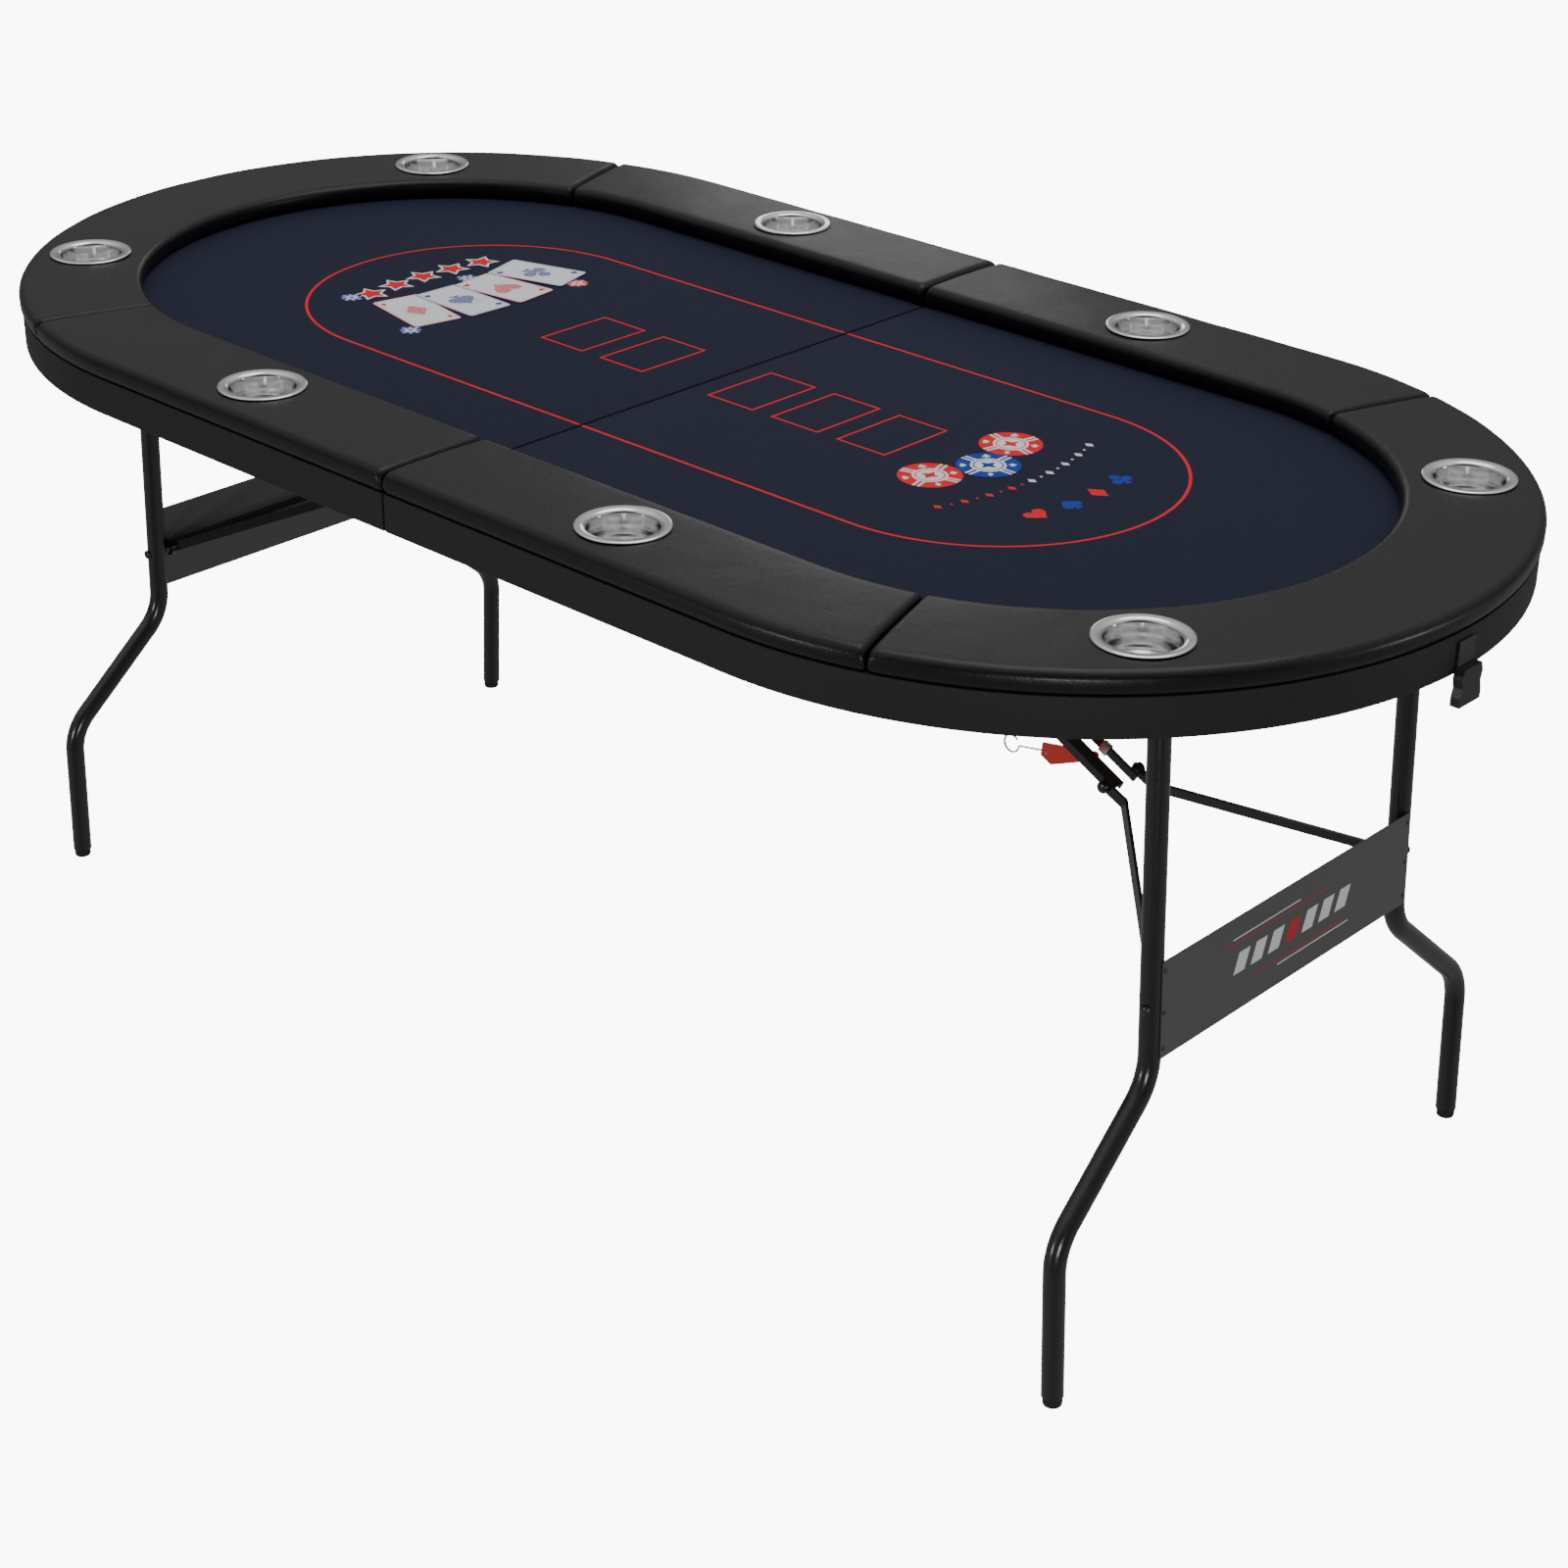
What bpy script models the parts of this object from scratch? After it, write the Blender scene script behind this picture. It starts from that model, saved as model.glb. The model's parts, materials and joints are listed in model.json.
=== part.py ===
"""Folding eight-seat card table: two padded halves, hinged at the middle, on two folding legs.

Metres, +Z up, floor at z = 0, the fold along Y at x = 0. Each half is modelled toward +X under
its own empty, and the left half is the same half turned half a turn about Z.
"""

import math

import bmesh
import bpy
from mathutils import Matrix, Vector

# ---- overall sizes ----
LENGTH = 1.829
WIDTH = 0.925
HEIGHT = 0.762

# ---- clearances ----
GAP = 0.0003            # between touching pieces
PIN_PLAY = 0.0003       # round a pin or a tube, on the radius
FOLD_GAP = 0.003        # between the two halves
SEAM_GAP = 0.0012       # half the notch between two rail pads

# ---- top ----
PAD_THICKNESS = 0.0252
PAD_WIDTH = 0.1325
PAD_ROUND = 0.007
APRON_HEIGHT = 0.040
APRON_WALL = 0.015
CLOTH_THICKNESS = 0.001
BOARD_THICKNESS = 0.0042
END_SEAM_ANGLE = math.radians(71.5)
ARC_STEPS = 18          # quarter-turn steps of the end curve
PAD_END_STEPS = 28
PAD_CORNER_STEPS = 4

# ---- cup holders ----
CUP_FLANGE_RADIUS = 0.046
CUP_FLANGE_HEIGHT = 0.0017
CUP_RADIUS = 0.035
CUP_DEPTH = 0.056
CUP_WALL = 0.001
CUP_SIDE_X = 0.2634
CUP_END_ANGLE = math.radians(40.6)
CUP_CORNER = 0.004              # round between the bowl and its floor
CUP_LIP = 0.003
CUP_STEPS = 24

# ---- leg frame ----
TUBE_RADIUS = 0.011
LEG_PIVOT_INSET = 0.1775        # from the tip of the apron to the pivot
LEG_PIVOT_DROP = 0.026          # from the playing surface to the pivot
LEG_LEAN = math.radians(2.75)
UPPER_LEG_Y = 0.2045
LOWER_LEG_Y = 0.341
UPPER_BEND_DROP = 0.4165        # below the pivot, along the leg
LOWER_BEND_DROP = 0.5355
TOP_BEND_RADIUS = 0.035
LEG_BEND_RADIUS = 0.060
TUBE_SIDES = 14
FOOT_RADIUS = 0.0097
FOOT_HEIGHT = 0.009

# ---- panel and stretcher ----
PANEL_TOP_DROP = 0.289
PANEL_HEIGHT = 0.102
PANEL_THICKNESS = 0.0012
STRETCHER_DROP = 0.338
STRETCHER_RADIUS = 0.006

# ---- folding brace ----
KNEE_RISE = 0.088               # from the stretcher up to the knee
BRACKET_INSET = 0.0485          # from the fold to the bracket pin
LINK_DEPTH = 0.009
LINK_PASS = 0.0007              # between a folded link and the stretcher under it
CHANNEL_WIDTH = 0.016
CHANNEL_SHEET = 0.0016
LINK_Y = 0.015                  # centre of the channel and of the flat bar
BAR_THICKNESS = 0.004
KNEE_END = 0.008                # link length past the knee
KNEE_BOLT_RADIUS = 0.0046
KNEE_BOLT_HEAD = 0.003
V_WIDTH = 0.011
V_THICKNESS = 0.0035
V_EYE_Y = 0.182
V_EYE_WALL = 0.0027
V_EYE_WIDTH = 0.008
V_EYE_BITE = 0.002              # how far a bar reaches into its eye
V_EYE_RUN = 0.022               # straight part of a bar at the eye
V_KNEE_RUN = 0.026              # straight part of a bar at the knee
PIN_RADIUS = 0.003
PIN_HEAD = 0.0015               # head over the pin, on the radius
PIN_HEAD_HEIGHT = 0.002
BRACKET_REACH = 0.022
BRACKET_NOSE = 0.008
BRACKET_FLANGE = 0.002

# ---- small parts ----
SADDLE_Y = 0.13
SADDLE_WIDTH = 0.025
SADDLE_SHEET = 0.0015
SADDLE_FLANGE = 0.018
CLIP_SHEET = 0.0012
CLIP_WIDTH = 0.010
CLIP_BACK = 0.036               # behind the knee
LEVER_PIVOT_BACK = 0.034        # behind the knee
LEVER_BACK = 0.044              # from its pivot to its tip, along the channel and down
LEVER_DROP = 0.046
LEVER_TIP = 0.010
LEVER_ROOT = 0.009              # depth of the plate under the channel
LEVER_TRAVEL = math.radians(35)
LEVER_SHEET = 0.002
LEVER_RIVET = 0.004
PULL_WIRE = 0.0011
PULL_LOOP = 0.0095
PULL_RUN = Vector((0.030, 0.0285))      # from the lever to the loop
PULL_BEND = math.radians(28)
PULL_TURN = math.radians(320)
PULL_STEPS = 12
STRAP_WIDTH = 0.026
STRAP_THICKNESS = 0.0016
STRAP_TOP_DROP = 0.008          # below the playing surface
STRAP_LENGTH = 0.024
BUCKLE_WIDTH = 0.034
BUCKLE_HEIGHT = 0.036
BUCKLE_THICKNESS = 0.010
BUCKLE_WALL = 0.0022
BUCKLE_MOUTH_WIDTH = 0.80       # shares of the buckle
BUCKLE_MOUTH_HEIGHT = 0.62
HINGE_Y = 0.27
HINGE_LENGTH = 0.075
HINGE_LEAF = 0.028
HINGE_SHEET = 0.0016
HINGE_BARREL = 0.0038
HINGE_PIN_RADIUS = 0.0017
HINGE_PIN_OVER = 0.001

# ---- levels and places worked out from the sizes above ----
PAD_TOP = HEIGHT - CUP_FLANGE_HEIGHT - GAP
SURFACE = PAD_TOP - PAD_THICKNESS
APRON_BOTTOM = SURFACE - APRON_HEIGHT
BOARD_TOP = SURFACE - GAP - CLOTH_THICKNESS - GAP
BOARD_UNDER = BOARD_TOP - BOARD_THICKNESS
OUTER_RADIUS = WIDTH / 2
ARC_X = LENGTH / 2 - OUTER_RADIUS
FOLD_X = FOLD_GAP / 2
RAIL_CENTRE = OUTER_RADIUS - PAD_WIDTH / 2
INSIDE_RADIUS = OUTER_RADIUS - APRON_WALL
PIVOT_X = LENGTH / 2 - LEG_PIVOT_INSET
PIVOT_Z = SURFACE - LEG_PIVOT_DROP
TUBE_LENGTH = (PIVOT_Z - FOOT_HEIGHT) / math.cos(LEG_LEAN) - TUBE_RADIUS * math.tan(LEG_LEAN) - GAP
HINGE_AXIS_Z = APRON_BOTTOM - HINGE_BARREL - GAP


V_EYE_RADIUS = STRETCHER_RADIUS + PIN_PLAY + V_EYE_WALL
STRETCHER_OUT = TUBE_RADIUS - V_EYE_RADIUS      # the eyes lie flush with the outer side of the legs
LINK_FOLDED_RISE = STRETCHER_RADIUS - STRETCHER_OUT + LINK_PASS + LINK_DEPTH / 2


def leg_point(drop, out=0.0):
    """Where a point below the pivot and outward of the leg line lies in the half's XZ."""
    return Vector((PIVOT_X + drop * math.sin(LEG_LEAN) + out * math.cos(LEG_LEAN),
                   PIVOT_Z - drop * math.cos(LEG_LEAN) + out * math.sin(LEG_LEAN)))


# The brace closes at both ends of the fold. The bracket pin and the height of the knee are
# given, and the distance of the knee from the stretcher is found by halving.
STRETCHER_XZ = leg_point(STRETCHER_DROP, STRETCHER_OUT)
FOLDED_STRETCHER = Vector((PIVOT_X - STRETCHER_DROP, PIVOT_Z - STRETCHER_OUT))
BRACKET_PIN = Vector((FOLD_X + BRACKET_INSET, PIVOT_Z + LINK_FOLDED_RISE))


def folded_knee_x(back):
    """Where the knee lies when the leg is flat, for a knee this far back from the stretcher."""
    reach = math.hypot(back, KNEE_RISE)
    return FOLDED_STRETCHER.x + math.sqrt(reach ** 2 - (BRACKET_PIN.y - FOLDED_STRETCHER.y) ** 2)


def knee_back():
    """The distance at which the link is as long with the leg open as with the leg flat."""
    near = 0.0
    far = STRETCHER_XZ.x - BRACKET_PIN.x
    for _ in range(50):
        middle = (near + far) / 2
        knee = STRETCHER_XZ + Vector((-middle, KNEE_RISE))
        if (knee - BRACKET_PIN).length > folded_knee_x(middle) - BRACKET_PIN.x:
            near = middle
        else:
            far = middle
    return middle


KNEE_BACK = knee_back()
KNEE_XZ = STRETCHER_XZ + Vector((-KNEE_BACK, KNEE_RISE))
V_LENGTH = math.hypot(KNEE_BACK, KNEE_RISE)
V_ANGLE = math.atan2(KNEE_RISE, KNEE_BACK)
LINK_LENGTH = (KNEE_XZ - BRACKET_PIN).length
LINK_ANGLE = math.atan2(BRACKET_PIN.y - KNEE_XZ.y, KNEE_XZ.x - BRACKET_PIN.x)


def start():
    """Empty the scene."""
    for item in list(bpy.data.objects):
        bpy.data.objects.remove(item, do_unlink=True)


def material(name, colour, roughness, metallic):
    """A Principled material with one colour."""
    made = bpy.data.materials.new(name)
    made.use_nodes = True
    shader = made.node_tree.nodes["Principled BSDF"]
    shader.inputs["Base Color"].default_value = (*colour, 1.0)
    shader.inputs["Roughness"].default_value = roughness
    shader.inputs["Metallic"].default_value = metallic
    made.diffuse_color = (*colour, 1.0)
    return made


def frame(name, parent=None, at=(0, 0, 0), turn=(0, 0, 0)):
    """An empty that places what hangs under it."""
    made = bpy.data.objects.new(name, None)
    bpy.context.scene.collection.objects.link(made)
    made.parent = parent
    made.location = at
    made.rotation_euler = turn
    return made


def solid(name, bm, look=None, parent=None, smooth=False):
    """Turn a bmesh into a named object with its own material."""
    bmesh.ops.recalc_face_normals(bm, faces=bm.faces)
    mesh = bpy.data.meshes.new(name)
    bm.to_mesh(mesh)
    bm.free()
    made = bpy.data.objects.new(name, mesh)
    bpy.context.scene.collection.objects.link(made)
    made.parent = parent
    if look:
        colour, roughness, metallic = look
        mesh.materials.append(material(name + "_finish", colour, roughness, metallic))
    if smooth:
        mesh.set_sharp_from_angle(angle=math.radians(35))
        for face in mesh.polygons:
            face.use_smooth = True
    return made


def combine(target, tool, operation):
    """Add or cut a tool with an exact Boolean, and keep the result as the object's mesh."""
    tool.parent = target.parent
    modifier = target.modifiers.new("combine", "BOOLEAN")
    modifier.operation = operation
    modifier.solver = "EXACT"
    modifier.object = tool
    bpy.context.view_layer.update()
    evaluated = target.evaluated_get(bpy.context.evaluated_depsgraph_get())
    mesh = bpy.data.meshes.new_from_object(evaluated)
    target.modifiers.clear()
    target.data = mesh
    bpy.data.objects.remove(tool, do_unlink=True)


def prism(outline, low, high, axis="Z"):
    """A closed prism: an outline extruded between two levels of an axis.

    The outline is in XY for Z, in XZ for Y, and in YZ for X.
    """
    bm = bmesh.new()
    order = {"Z": (0, 1, 2), "Y": (0, 2, 1), "X": (2, 0, 1)}[axis]

    def place(*values):
        return [values[i] for i in order]

    base = bm.faces.new([bm.verts.new(place(a, b, low)) for a, b in outline])
    grown = bmesh.ops.extrude_face_region(bm, geom=[base])["geom"]
    moved = [item for item in grown if isinstance(item, bmesh.types.BMVert)]
    bmesh.ops.translate(bm, verts=moved, vec=place(0, 0, high - low))
    return bm


def rod(radius, low, high, axis="Y", at=(0, 0), sides=16):
    """A cylinder along an axis, at a place in the other two coordinates."""
    ring = [(at[0] + radius * math.cos(2 * math.pi * i / sides),
             at[1] + radius * math.sin(2 * math.pi * i / sides)) for i in range(sides)]
    return prism(ring, low, high, axis)


def box(low, high):
    """A box between two corners."""
    (x1, y1, z1), (x2, y2, z2) = low, high
    return prism([(x1, y1), (x2, y1), (x2, y2), (x1, y2)], z1, z2)


def rounded(points, radii, steps=5):
    """A path through corner points, with an arc of the given radius at each inner corner."""
    path = [Vector(points[0])]
    for before, corner, after, radius in zip(points, points[1:], points[2:], radii):
        corner = Vector(corner)
        back = (Vector(before) - corner).normalized()
        ahead = (Vector(after) - corner).normalized()
        half = back.angle(ahead) / 2
        reach = radius / math.tan(half)
        centre = corner + (back + ahead).normalized() * radius / math.sin(half)
        first = corner + back * reach - centre
        last = corner + ahead * reach - centre
        for i in range(steps + 1):
            path.append(centre + first.slerp(last, i / steps).normalized() * radius)
    path.append(Vector(points[-1]))
    return path


def tube(path, radius, sides):
    """A round bar swept along a path, with closed ends."""
    bm = bmesh.new()
    rings = []
    heading = (path[1] - path[0]).normalized()
    turn = heading.to_track_quat("Z", "Y")
    for i, point in enumerate(path):
        ahead = (path[min(i + 1, len(path) - 1)] - point).normalized()
        behind = (point - path[max(i - 1, 0)]).normalized()
        now = (ahead + behind).normalized()
        turn = heading.rotation_difference(now) @ turn
        heading = now
        matrix = Matrix.Translation(point) @ turn.to_matrix().to_4x4()
        rings.append(bmesh.ops.create_circle(bm, segments=sides, radius=radius, matrix=matrix)["verts"])
    for one, two in zip(rings, rings[1:]):
        for j in range(sides):
            bm.faces.new((one[j], one[(j + 1) % sides], two[(j + 1) % sides], two[j]))
    bm.faces.new(rings[0])
    bm.faces.new(rings[-1])
    return bm


def half_outline(radius, fold_x):
    """The D-shaped outline of one half, from the fold round the end curve and back."""
    turns = [math.pi / 2 - math.pi * i / (2 * ARC_STEPS) for i in range(2 * ARC_STEPS + 1)]
    curve = [(ARC_X + radius * math.cos(a), radius * math.sin(a)) for a in turns]
    return [(fold_x, radius)] + curve + [(fold_x, -radius)]


# ---- looks: colour, roughness, metallic ----
LEATHER = ((0.012, 0.012, 0.013), 0.38, 0.0)
CLOTH = ((0.019, 0.024, 0.048), 0.90, 0.0)
SKIRT = ((0.020, 0.020, 0.022), 0.60, 0.0)
BOARD = ((0.19, 0.13, 0.08), 0.80, 0.0)
STAINLESS = ((0.72, 0.72, 0.72), 0.16, 1.0)
BLACK_PAINT = ((0.012, 0.012, 0.013), 0.30, 0.0)
GREY_PAINT = ((0.060, 0.060, 0.064), 0.45, 0.0)
RUBBER = ((0.020, 0.020, 0.020), 0.75, 0.0)
RED_PAINT = ((0.62, 0.035, 0.025), 0.40, 0.0)
ZINC = ((0.62, 0.63, 0.65), 0.28, 1.0)
WEBBING = ((0.018, 0.018, 0.020), 0.85, 0.0)
PLASTIC = ((0.022, 0.022, 0.024), 0.42, 0.0)

CUP_PLACES = {
    "side_near": (CUP_SIDE_X, -RAIL_CENTRE),
    "side_far": (CUP_SIDE_X, RAIL_CENTRE),
    "end_near": (ARC_X + RAIL_CENTRE * math.cos(CUP_END_ANGLE), -RAIL_CENTRE * math.sin(CUP_END_ANGLE)),
    "end_far": (ARC_X + RAIL_CENTRE * math.cos(CUP_END_ANGLE), RAIL_CENTRE * math.sin(CUP_END_ANGLE)),
}


def cut_cup_holes(target, places, low, high):
    """Open a hole for each cup bowl."""
    for place in places:
        hole = rod(CUP_RADIUS + PIN_PLAY, low, high, "Z", CUP_PLACES[place], CUP_STEPS)
        combine(target, solid("cutter", hole), "DIFFERENCE")


def top_board(side, half):
    """Thin board let into the apron, with four holes for the cups."""
    outline = half_outline(INSIDE_RADIUS - GAP, FOLD_X + APRON_WALL + GAP)
    board = solid(side + "_top_board", prism(outline, BOARD_UNDER, BOARD_TOP), BOARD, half)
    cut_cup_holes(board, CUP_PLACES, BOARD_UNDER - APRON_HEIGHT, PAD_TOP)


def play_cloth(side, half):
    """Printed cloth on the board, between the rail pads and up to the fold."""
    outline = half_outline(OUTER_RADIUS - PAD_WIDTH - GAP, FOLD_X)
    solid(side + "_play_cloth", prism(outline, BOARD_TOP + GAP, SURFACE), CLOTH, half)


def apron(side, half):
    """D-shaped skirt ring. The cloth runs to the fold over its cross rail, which is lower there."""
    outer = half_outline(OUTER_RADIUS, FOLD_X)
    inner = half_outline(INSIDE_RADIUS, FOLD_X + APRON_WALL)
    bm = bmesh.new()
    count = len(outer)
    section = ((outer, APRON_BOTTOM), (outer, SURFACE), (inner, SURFACE), (inner, APRON_BOTTOM))
    loops = [[bm.verts.new((x, y, z)) for x, y in line] for line, z in section]
    for one, two in zip(loops, loops[1:] + loops[:1]):
        for j in range(count):
            bm.faces.new((one[j], one[(j + 1) % count], two[(j + 1) % count], two[j]))
    skirt = solid(side + "_apron", bm, SKIRT, half)
    reach = OUTER_RADIUS - PAD_WIDTH
    step = box((-FOLD_X, -reach, BOARD_TOP), (FOLD_X + APRON_WALL + GAP, reach, PAD_TOP))
    combine(skirt, solid("cloth_step", step), "DIFFERENCE")


def pad_section():
    """Rail pad section: distance from the outer edge, and height. Flat base, rounded top edges."""
    low = SURFACE + GAP
    middle = PAD_TOP - PAD_ROUND
    points = [(0.0, low)]
    for corner, first in ((PAD_ROUND, math.pi), (PAD_WIDTH - PAD_ROUND, math.pi / 2)):
        for i in range(PAD_CORNER_STEPS + 1):
            a = first - i * math.pi / 2 / PAD_CORNER_STEPS
            points.append((corner + PAD_ROUND * math.cos(a), middle + PAD_ROUND * math.sin(a)))
    points.append((PAD_WIDTH, low))
    return points


def sweep_pad(stations):
    """A pad swept through stations, each an inner place and an outward direction in plan."""
    section = pad_section()
    bm = bmesh.new()
    rings = []
    for (x, y), (across_x, across_y) in stations:
        ring = []
        for inward, z in section:
            out = OUTER_RADIUS - inward
            ring.append(bm.verts.new((x + across_x * out, y + across_y * out, z)))
        rings.append(ring)
    count = len(section)
    for one, two in zip(rings, rings[1:]):
        for j in range(count):
            bm.faces.new((one[j], one[(j + 1) % count], two[(j + 1) % count], two[j]))
    bm.faces.new(rings[0])
    bm.faces.new(rings[-1])
    return bm


def rail_pads(side, half):
    """Two side pads with one cup hole each, and the end pad with two."""
    notch = SEAM_GAP / OUTER_RADIUS
    for place, sign in (("near", -1), ("far", 1)):
        stations = [((x, 0), (0, sign)) for x in (FOLD_X, ARC_X / 2)]
        for i in range(PAD_CORNER_STEPS + 1):
            a = math.pi / 2 - i * (math.pi / 2 - END_SEAM_ANGLE - notch) / PAD_CORNER_STEPS
            stations.append(((ARC_X, 0), (math.cos(a), sign * math.sin(a))))
        pad = solid(side + "_rail_pad_" + place, sweep_pad(stations), LEATHER, half)
        cut_cup_holes(pad, ["side_" + place], SURFACE - APRON_HEIGHT, HEIGHT + APRON_HEIGHT)
    first = END_SEAM_ANGLE - notch
    stations = []
    for i in range(PAD_END_STEPS + 1):
        a = first - 2 * first * i / PAD_END_STEPS
        stations.append(((ARC_X, 0), (math.cos(a), math.sin(a))))
    pad = solid(side + "_rail_pad_end", sweep_pad(stations), LEATHER, half)
    cut_cup_holes(pad, ["end_near", "end_far"], SURFACE - APRON_HEIGHT, HEIGHT + APRON_HEIGHT)


def cups(side, half):
    """Pressed stainless cups: a flange on the pad and a bowl through the pad and the board."""
    flange = PAD_TOP + GAP
    floor = HEIGHT - CUP_DEPTH
    inner = CUP_RADIUS - CUP_WALL
    profile = [
        (CUP_FLANGE_RADIUS, flange), (CUP_FLANGE_RADIUS, flange + CUP_WALL / 2),
        (CUP_FLANGE_RADIUS - CUP_LIP, HEIGHT), (inner + CUP_LIP, HEIGHT), (inner, HEIGHT - CUP_LIP),
        (inner, floor + CUP_WALL + CUP_CORNER), (inner - CUP_CORNER, floor + CUP_WALL), (0, floor + CUP_WALL),
        (0, floor), (CUP_RADIUS - CUP_CORNER, floor), (CUP_RADIUS, floor + CUP_CORNER), (CUP_RADIUS, flange),
    ]
    for place, (x, y) in CUP_PLACES.items():
        bm = bmesh.new()
        line = [bm.verts.new((r, 0, z)) for r, z in profile]
        for one, two in zip(line, line[1:] + line[:1]):
            if one.co.x > 0 or two.co.x > 0:
                bm.edges.new((one, two))
        bmesh.ops.spin(bm, geom=line + list(bm.edges), axis=(0, 0, 1), cent=(0, 0, 0),
                       angle=2 * math.pi, steps=CUP_STEPS, use_merge=True)
        bmesh.ops.remove_doubles(bm, verts=bm.verts, dist=0.00001)
        bmesh.ops.translate(bm, verts=bm.verts, vec=(x, y, 0))
        solid(side + "_cup_" + place, bm, STAINLESS, half, smooth=True)


def leg_frame(side, leg):
    """One bent tube: foot, lower leg, splayed step, upper leg, crossbar, and back down."""
    corners = [(LOWER_LEG_Y, -TUBE_LENGTH), (LOWER_LEG_Y, -LOWER_BEND_DROP),
               (UPPER_LEG_Y, -UPPER_BEND_DROP), (UPPER_LEG_Y, 0)]
    points = [(0, y, z) for y, z in corners] + [(0, -y, z) for y, z in reversed(corners)]
    side_radii = [LEG_BEND_RADIUS, LEG_BEND_RADIUS, TOP_BEND_RADIUS]
    path = rounded(points, side_radii + side_radii[::-1])
    solid(side + "_leg_frame", tube(path, TUBE_RADIUS, TUBE_SIDES), BLACK_PAINT, leg, smooth=True)
    foot_x = leg_point(PIVOT_Z / math.cos(LEG_LEAN)).x - PIVOT_X
    upright = frame(side + "_foot_level", leg, (0, 0, 0), (0, LEG_LEAN, 0))
    for place, sign in (("near", -1), ("far", 1)):
        foot_xy = (foot_x, sign * LOWER_LEG_Y)
        foot = rod(FOOT_RADIUS, -PIVOT_Z, FOOT_HEIGHT - PIVOT_Z, "Z", foot_xy, TUBE_SIDES)
        solid(side + "_foot_" + place, foot, RUBBER, upright, smooth=True)


def leg_panel(side, leg):
    """Thin sheet across the outer side of the upper legs, from tube centre to tube centre."""
    face = TUBE_RADIUS + GAP
    low = -PANEL_TOP_DROP - PANEL_HEIGHT
    panel = box((face, -UPPER_LEG_Y, low), (face + PANEL_THICKNESS, UPPER_LEG_Y, -PANEL_TOP_DROP))
    solid(side + "_leg_panel", panel, GREY_PAINT, leg)


def stretcher(side, leg):
    """Thin tube between the upper legs, on which the V-brace turns."""
    reach = UPPER_LEG_Y - TUBE_RADIUS - GAP
    bar = rod(STRETCHER_RADIUS, -reach, reach, "Y", (STRETCHER_OUT, -STRETCHER_DROP))
    solid(side + "_stretcher", bar, BLACK_PAINT, leg, smooth=True)


def strip(points, thickness):
    """Outline of a flat strip of even thickness along a bent line, with mitred corners."""
    left = []
    right = []
    for i, point in enumerate(points):
        here = Vector(point)
        before = (here - Vector(points[i - 1])).normalized() if i else None
        after = (Vector(points[i + 1]) - here).normalized() if i + 1 < len(points) else None
        along = ((before or after) + (after or before)).normalized()
        across = Vector((-along.y, along.x))
        reach = thickness / 2 / along.dot(before or after)
        left.append(tuple(here + across * reach))
        right.append(tuple(here - across * reach))
    return left + right[::-1]


def v_brace(side, swing):
    """Two flat bars from eyes on the stretcher in to the knee. Local -X runs to the knee."""
    knee_y = LINK_Y + CHANNEL_WIDTH / 2 + GAP + V_THICKNESS / 2
    for place, sign in (("near", -1), ("far", 1)):
        line = [(-V_EYE_RADIUS + V_EYE_BITE, sign * V_EYE_Y), (-V_EYE_RUN, sign * V_EYE_Y),
                (-V_LENGTH + V_KNEE_RUN, sign * knee_y), (-V_LENGTH - V_WIDTH / 2, sign * knee_y)]
        body = prism(strip(line, V_THICKNESS), -V_WIDTH / 2, V_WIDTH / 2)
        bar = solid(side + "_v_brace_" + place, body, BLACK_PAINT, swing)
        low = sign * V_EYE_Y - V_EYE_WIDTH / 2
        high = sign * V_EYE_Y + V_EYE_WIDTH / 2
        combine(bar, solid("eye", rod(V_EYE_RADIUS, low, high, "Y", sides=20)), "UNION")
        bore = rod(STRETCHER_RADIUS + PIN_PLAY, low - V_EYE_WIDTH, high + V_EYE_WIDTH, "Y", sides=20)
        combine(bar, solid("bore", bore), "DIFFERENCE")
        head_low, head_high = sorted((sign * knee_y, sign * (knee_y + V_THICKNESS / 2 + KNEE_BOLT_HEAD)))
        bolt = rod(KNEE_BOLT_RADIUS, head_low, head_high, "Y", (-V_LENGTH, 0), 12)
        combine(bar, solid("bolt", bolt), "UNION")


def brace_links(side, swing):
    """Upper links: a U-channel and a flat bar. Local +X runs from the bracket pin to the knee."""
    half = CHANNEL_WIDTH / 2
    top = LINK_DEPTH / 2
    web = top - CHANNEL_SHEET
    wall = half - CHANNEL_SHEET
    section = [(-half, -top), (-half, top), (half, top), (half, -top),
               (wall, -top), (wall, web), (-wall, web), (-wall, -top)]
    section = [(y - LINK_Y, z) for y, z in section]
    end = LINK_LENGTH + KNEE_END
    channel = solid(side + "_link_channel", prism(section, -top, end, "X"), BLACK_PAINT, swing)
    flat = box((-top, LINK_Y - BAR_THICKNESS / 2, -top), (end, LINK_Y + BAR_THICKNESS / 2, top))
    bar = solid(side + "_link_bar", flat, BLACK_PAINT, swing)
    for link, y in ((channel, -LINK_Y), (bar, LINK_Y)):
        hole = rod(PIN_RADIUS + PIN_PLAY, y - CHANNEL_WIDTH, y + CHANNEL_WIDTH, "Y", sides=16)
        combine(link, solid("hole", hole), "DIFFERENCE")
    spacer = rod(KNEE_BOLT_RADIUS * 0.95, LINK_Y, LINK_Y + half, "Y", (LINK_LENGTH, 0), 12)
    combine(bar, solid("spacer", spacer), "UNION")


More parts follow.
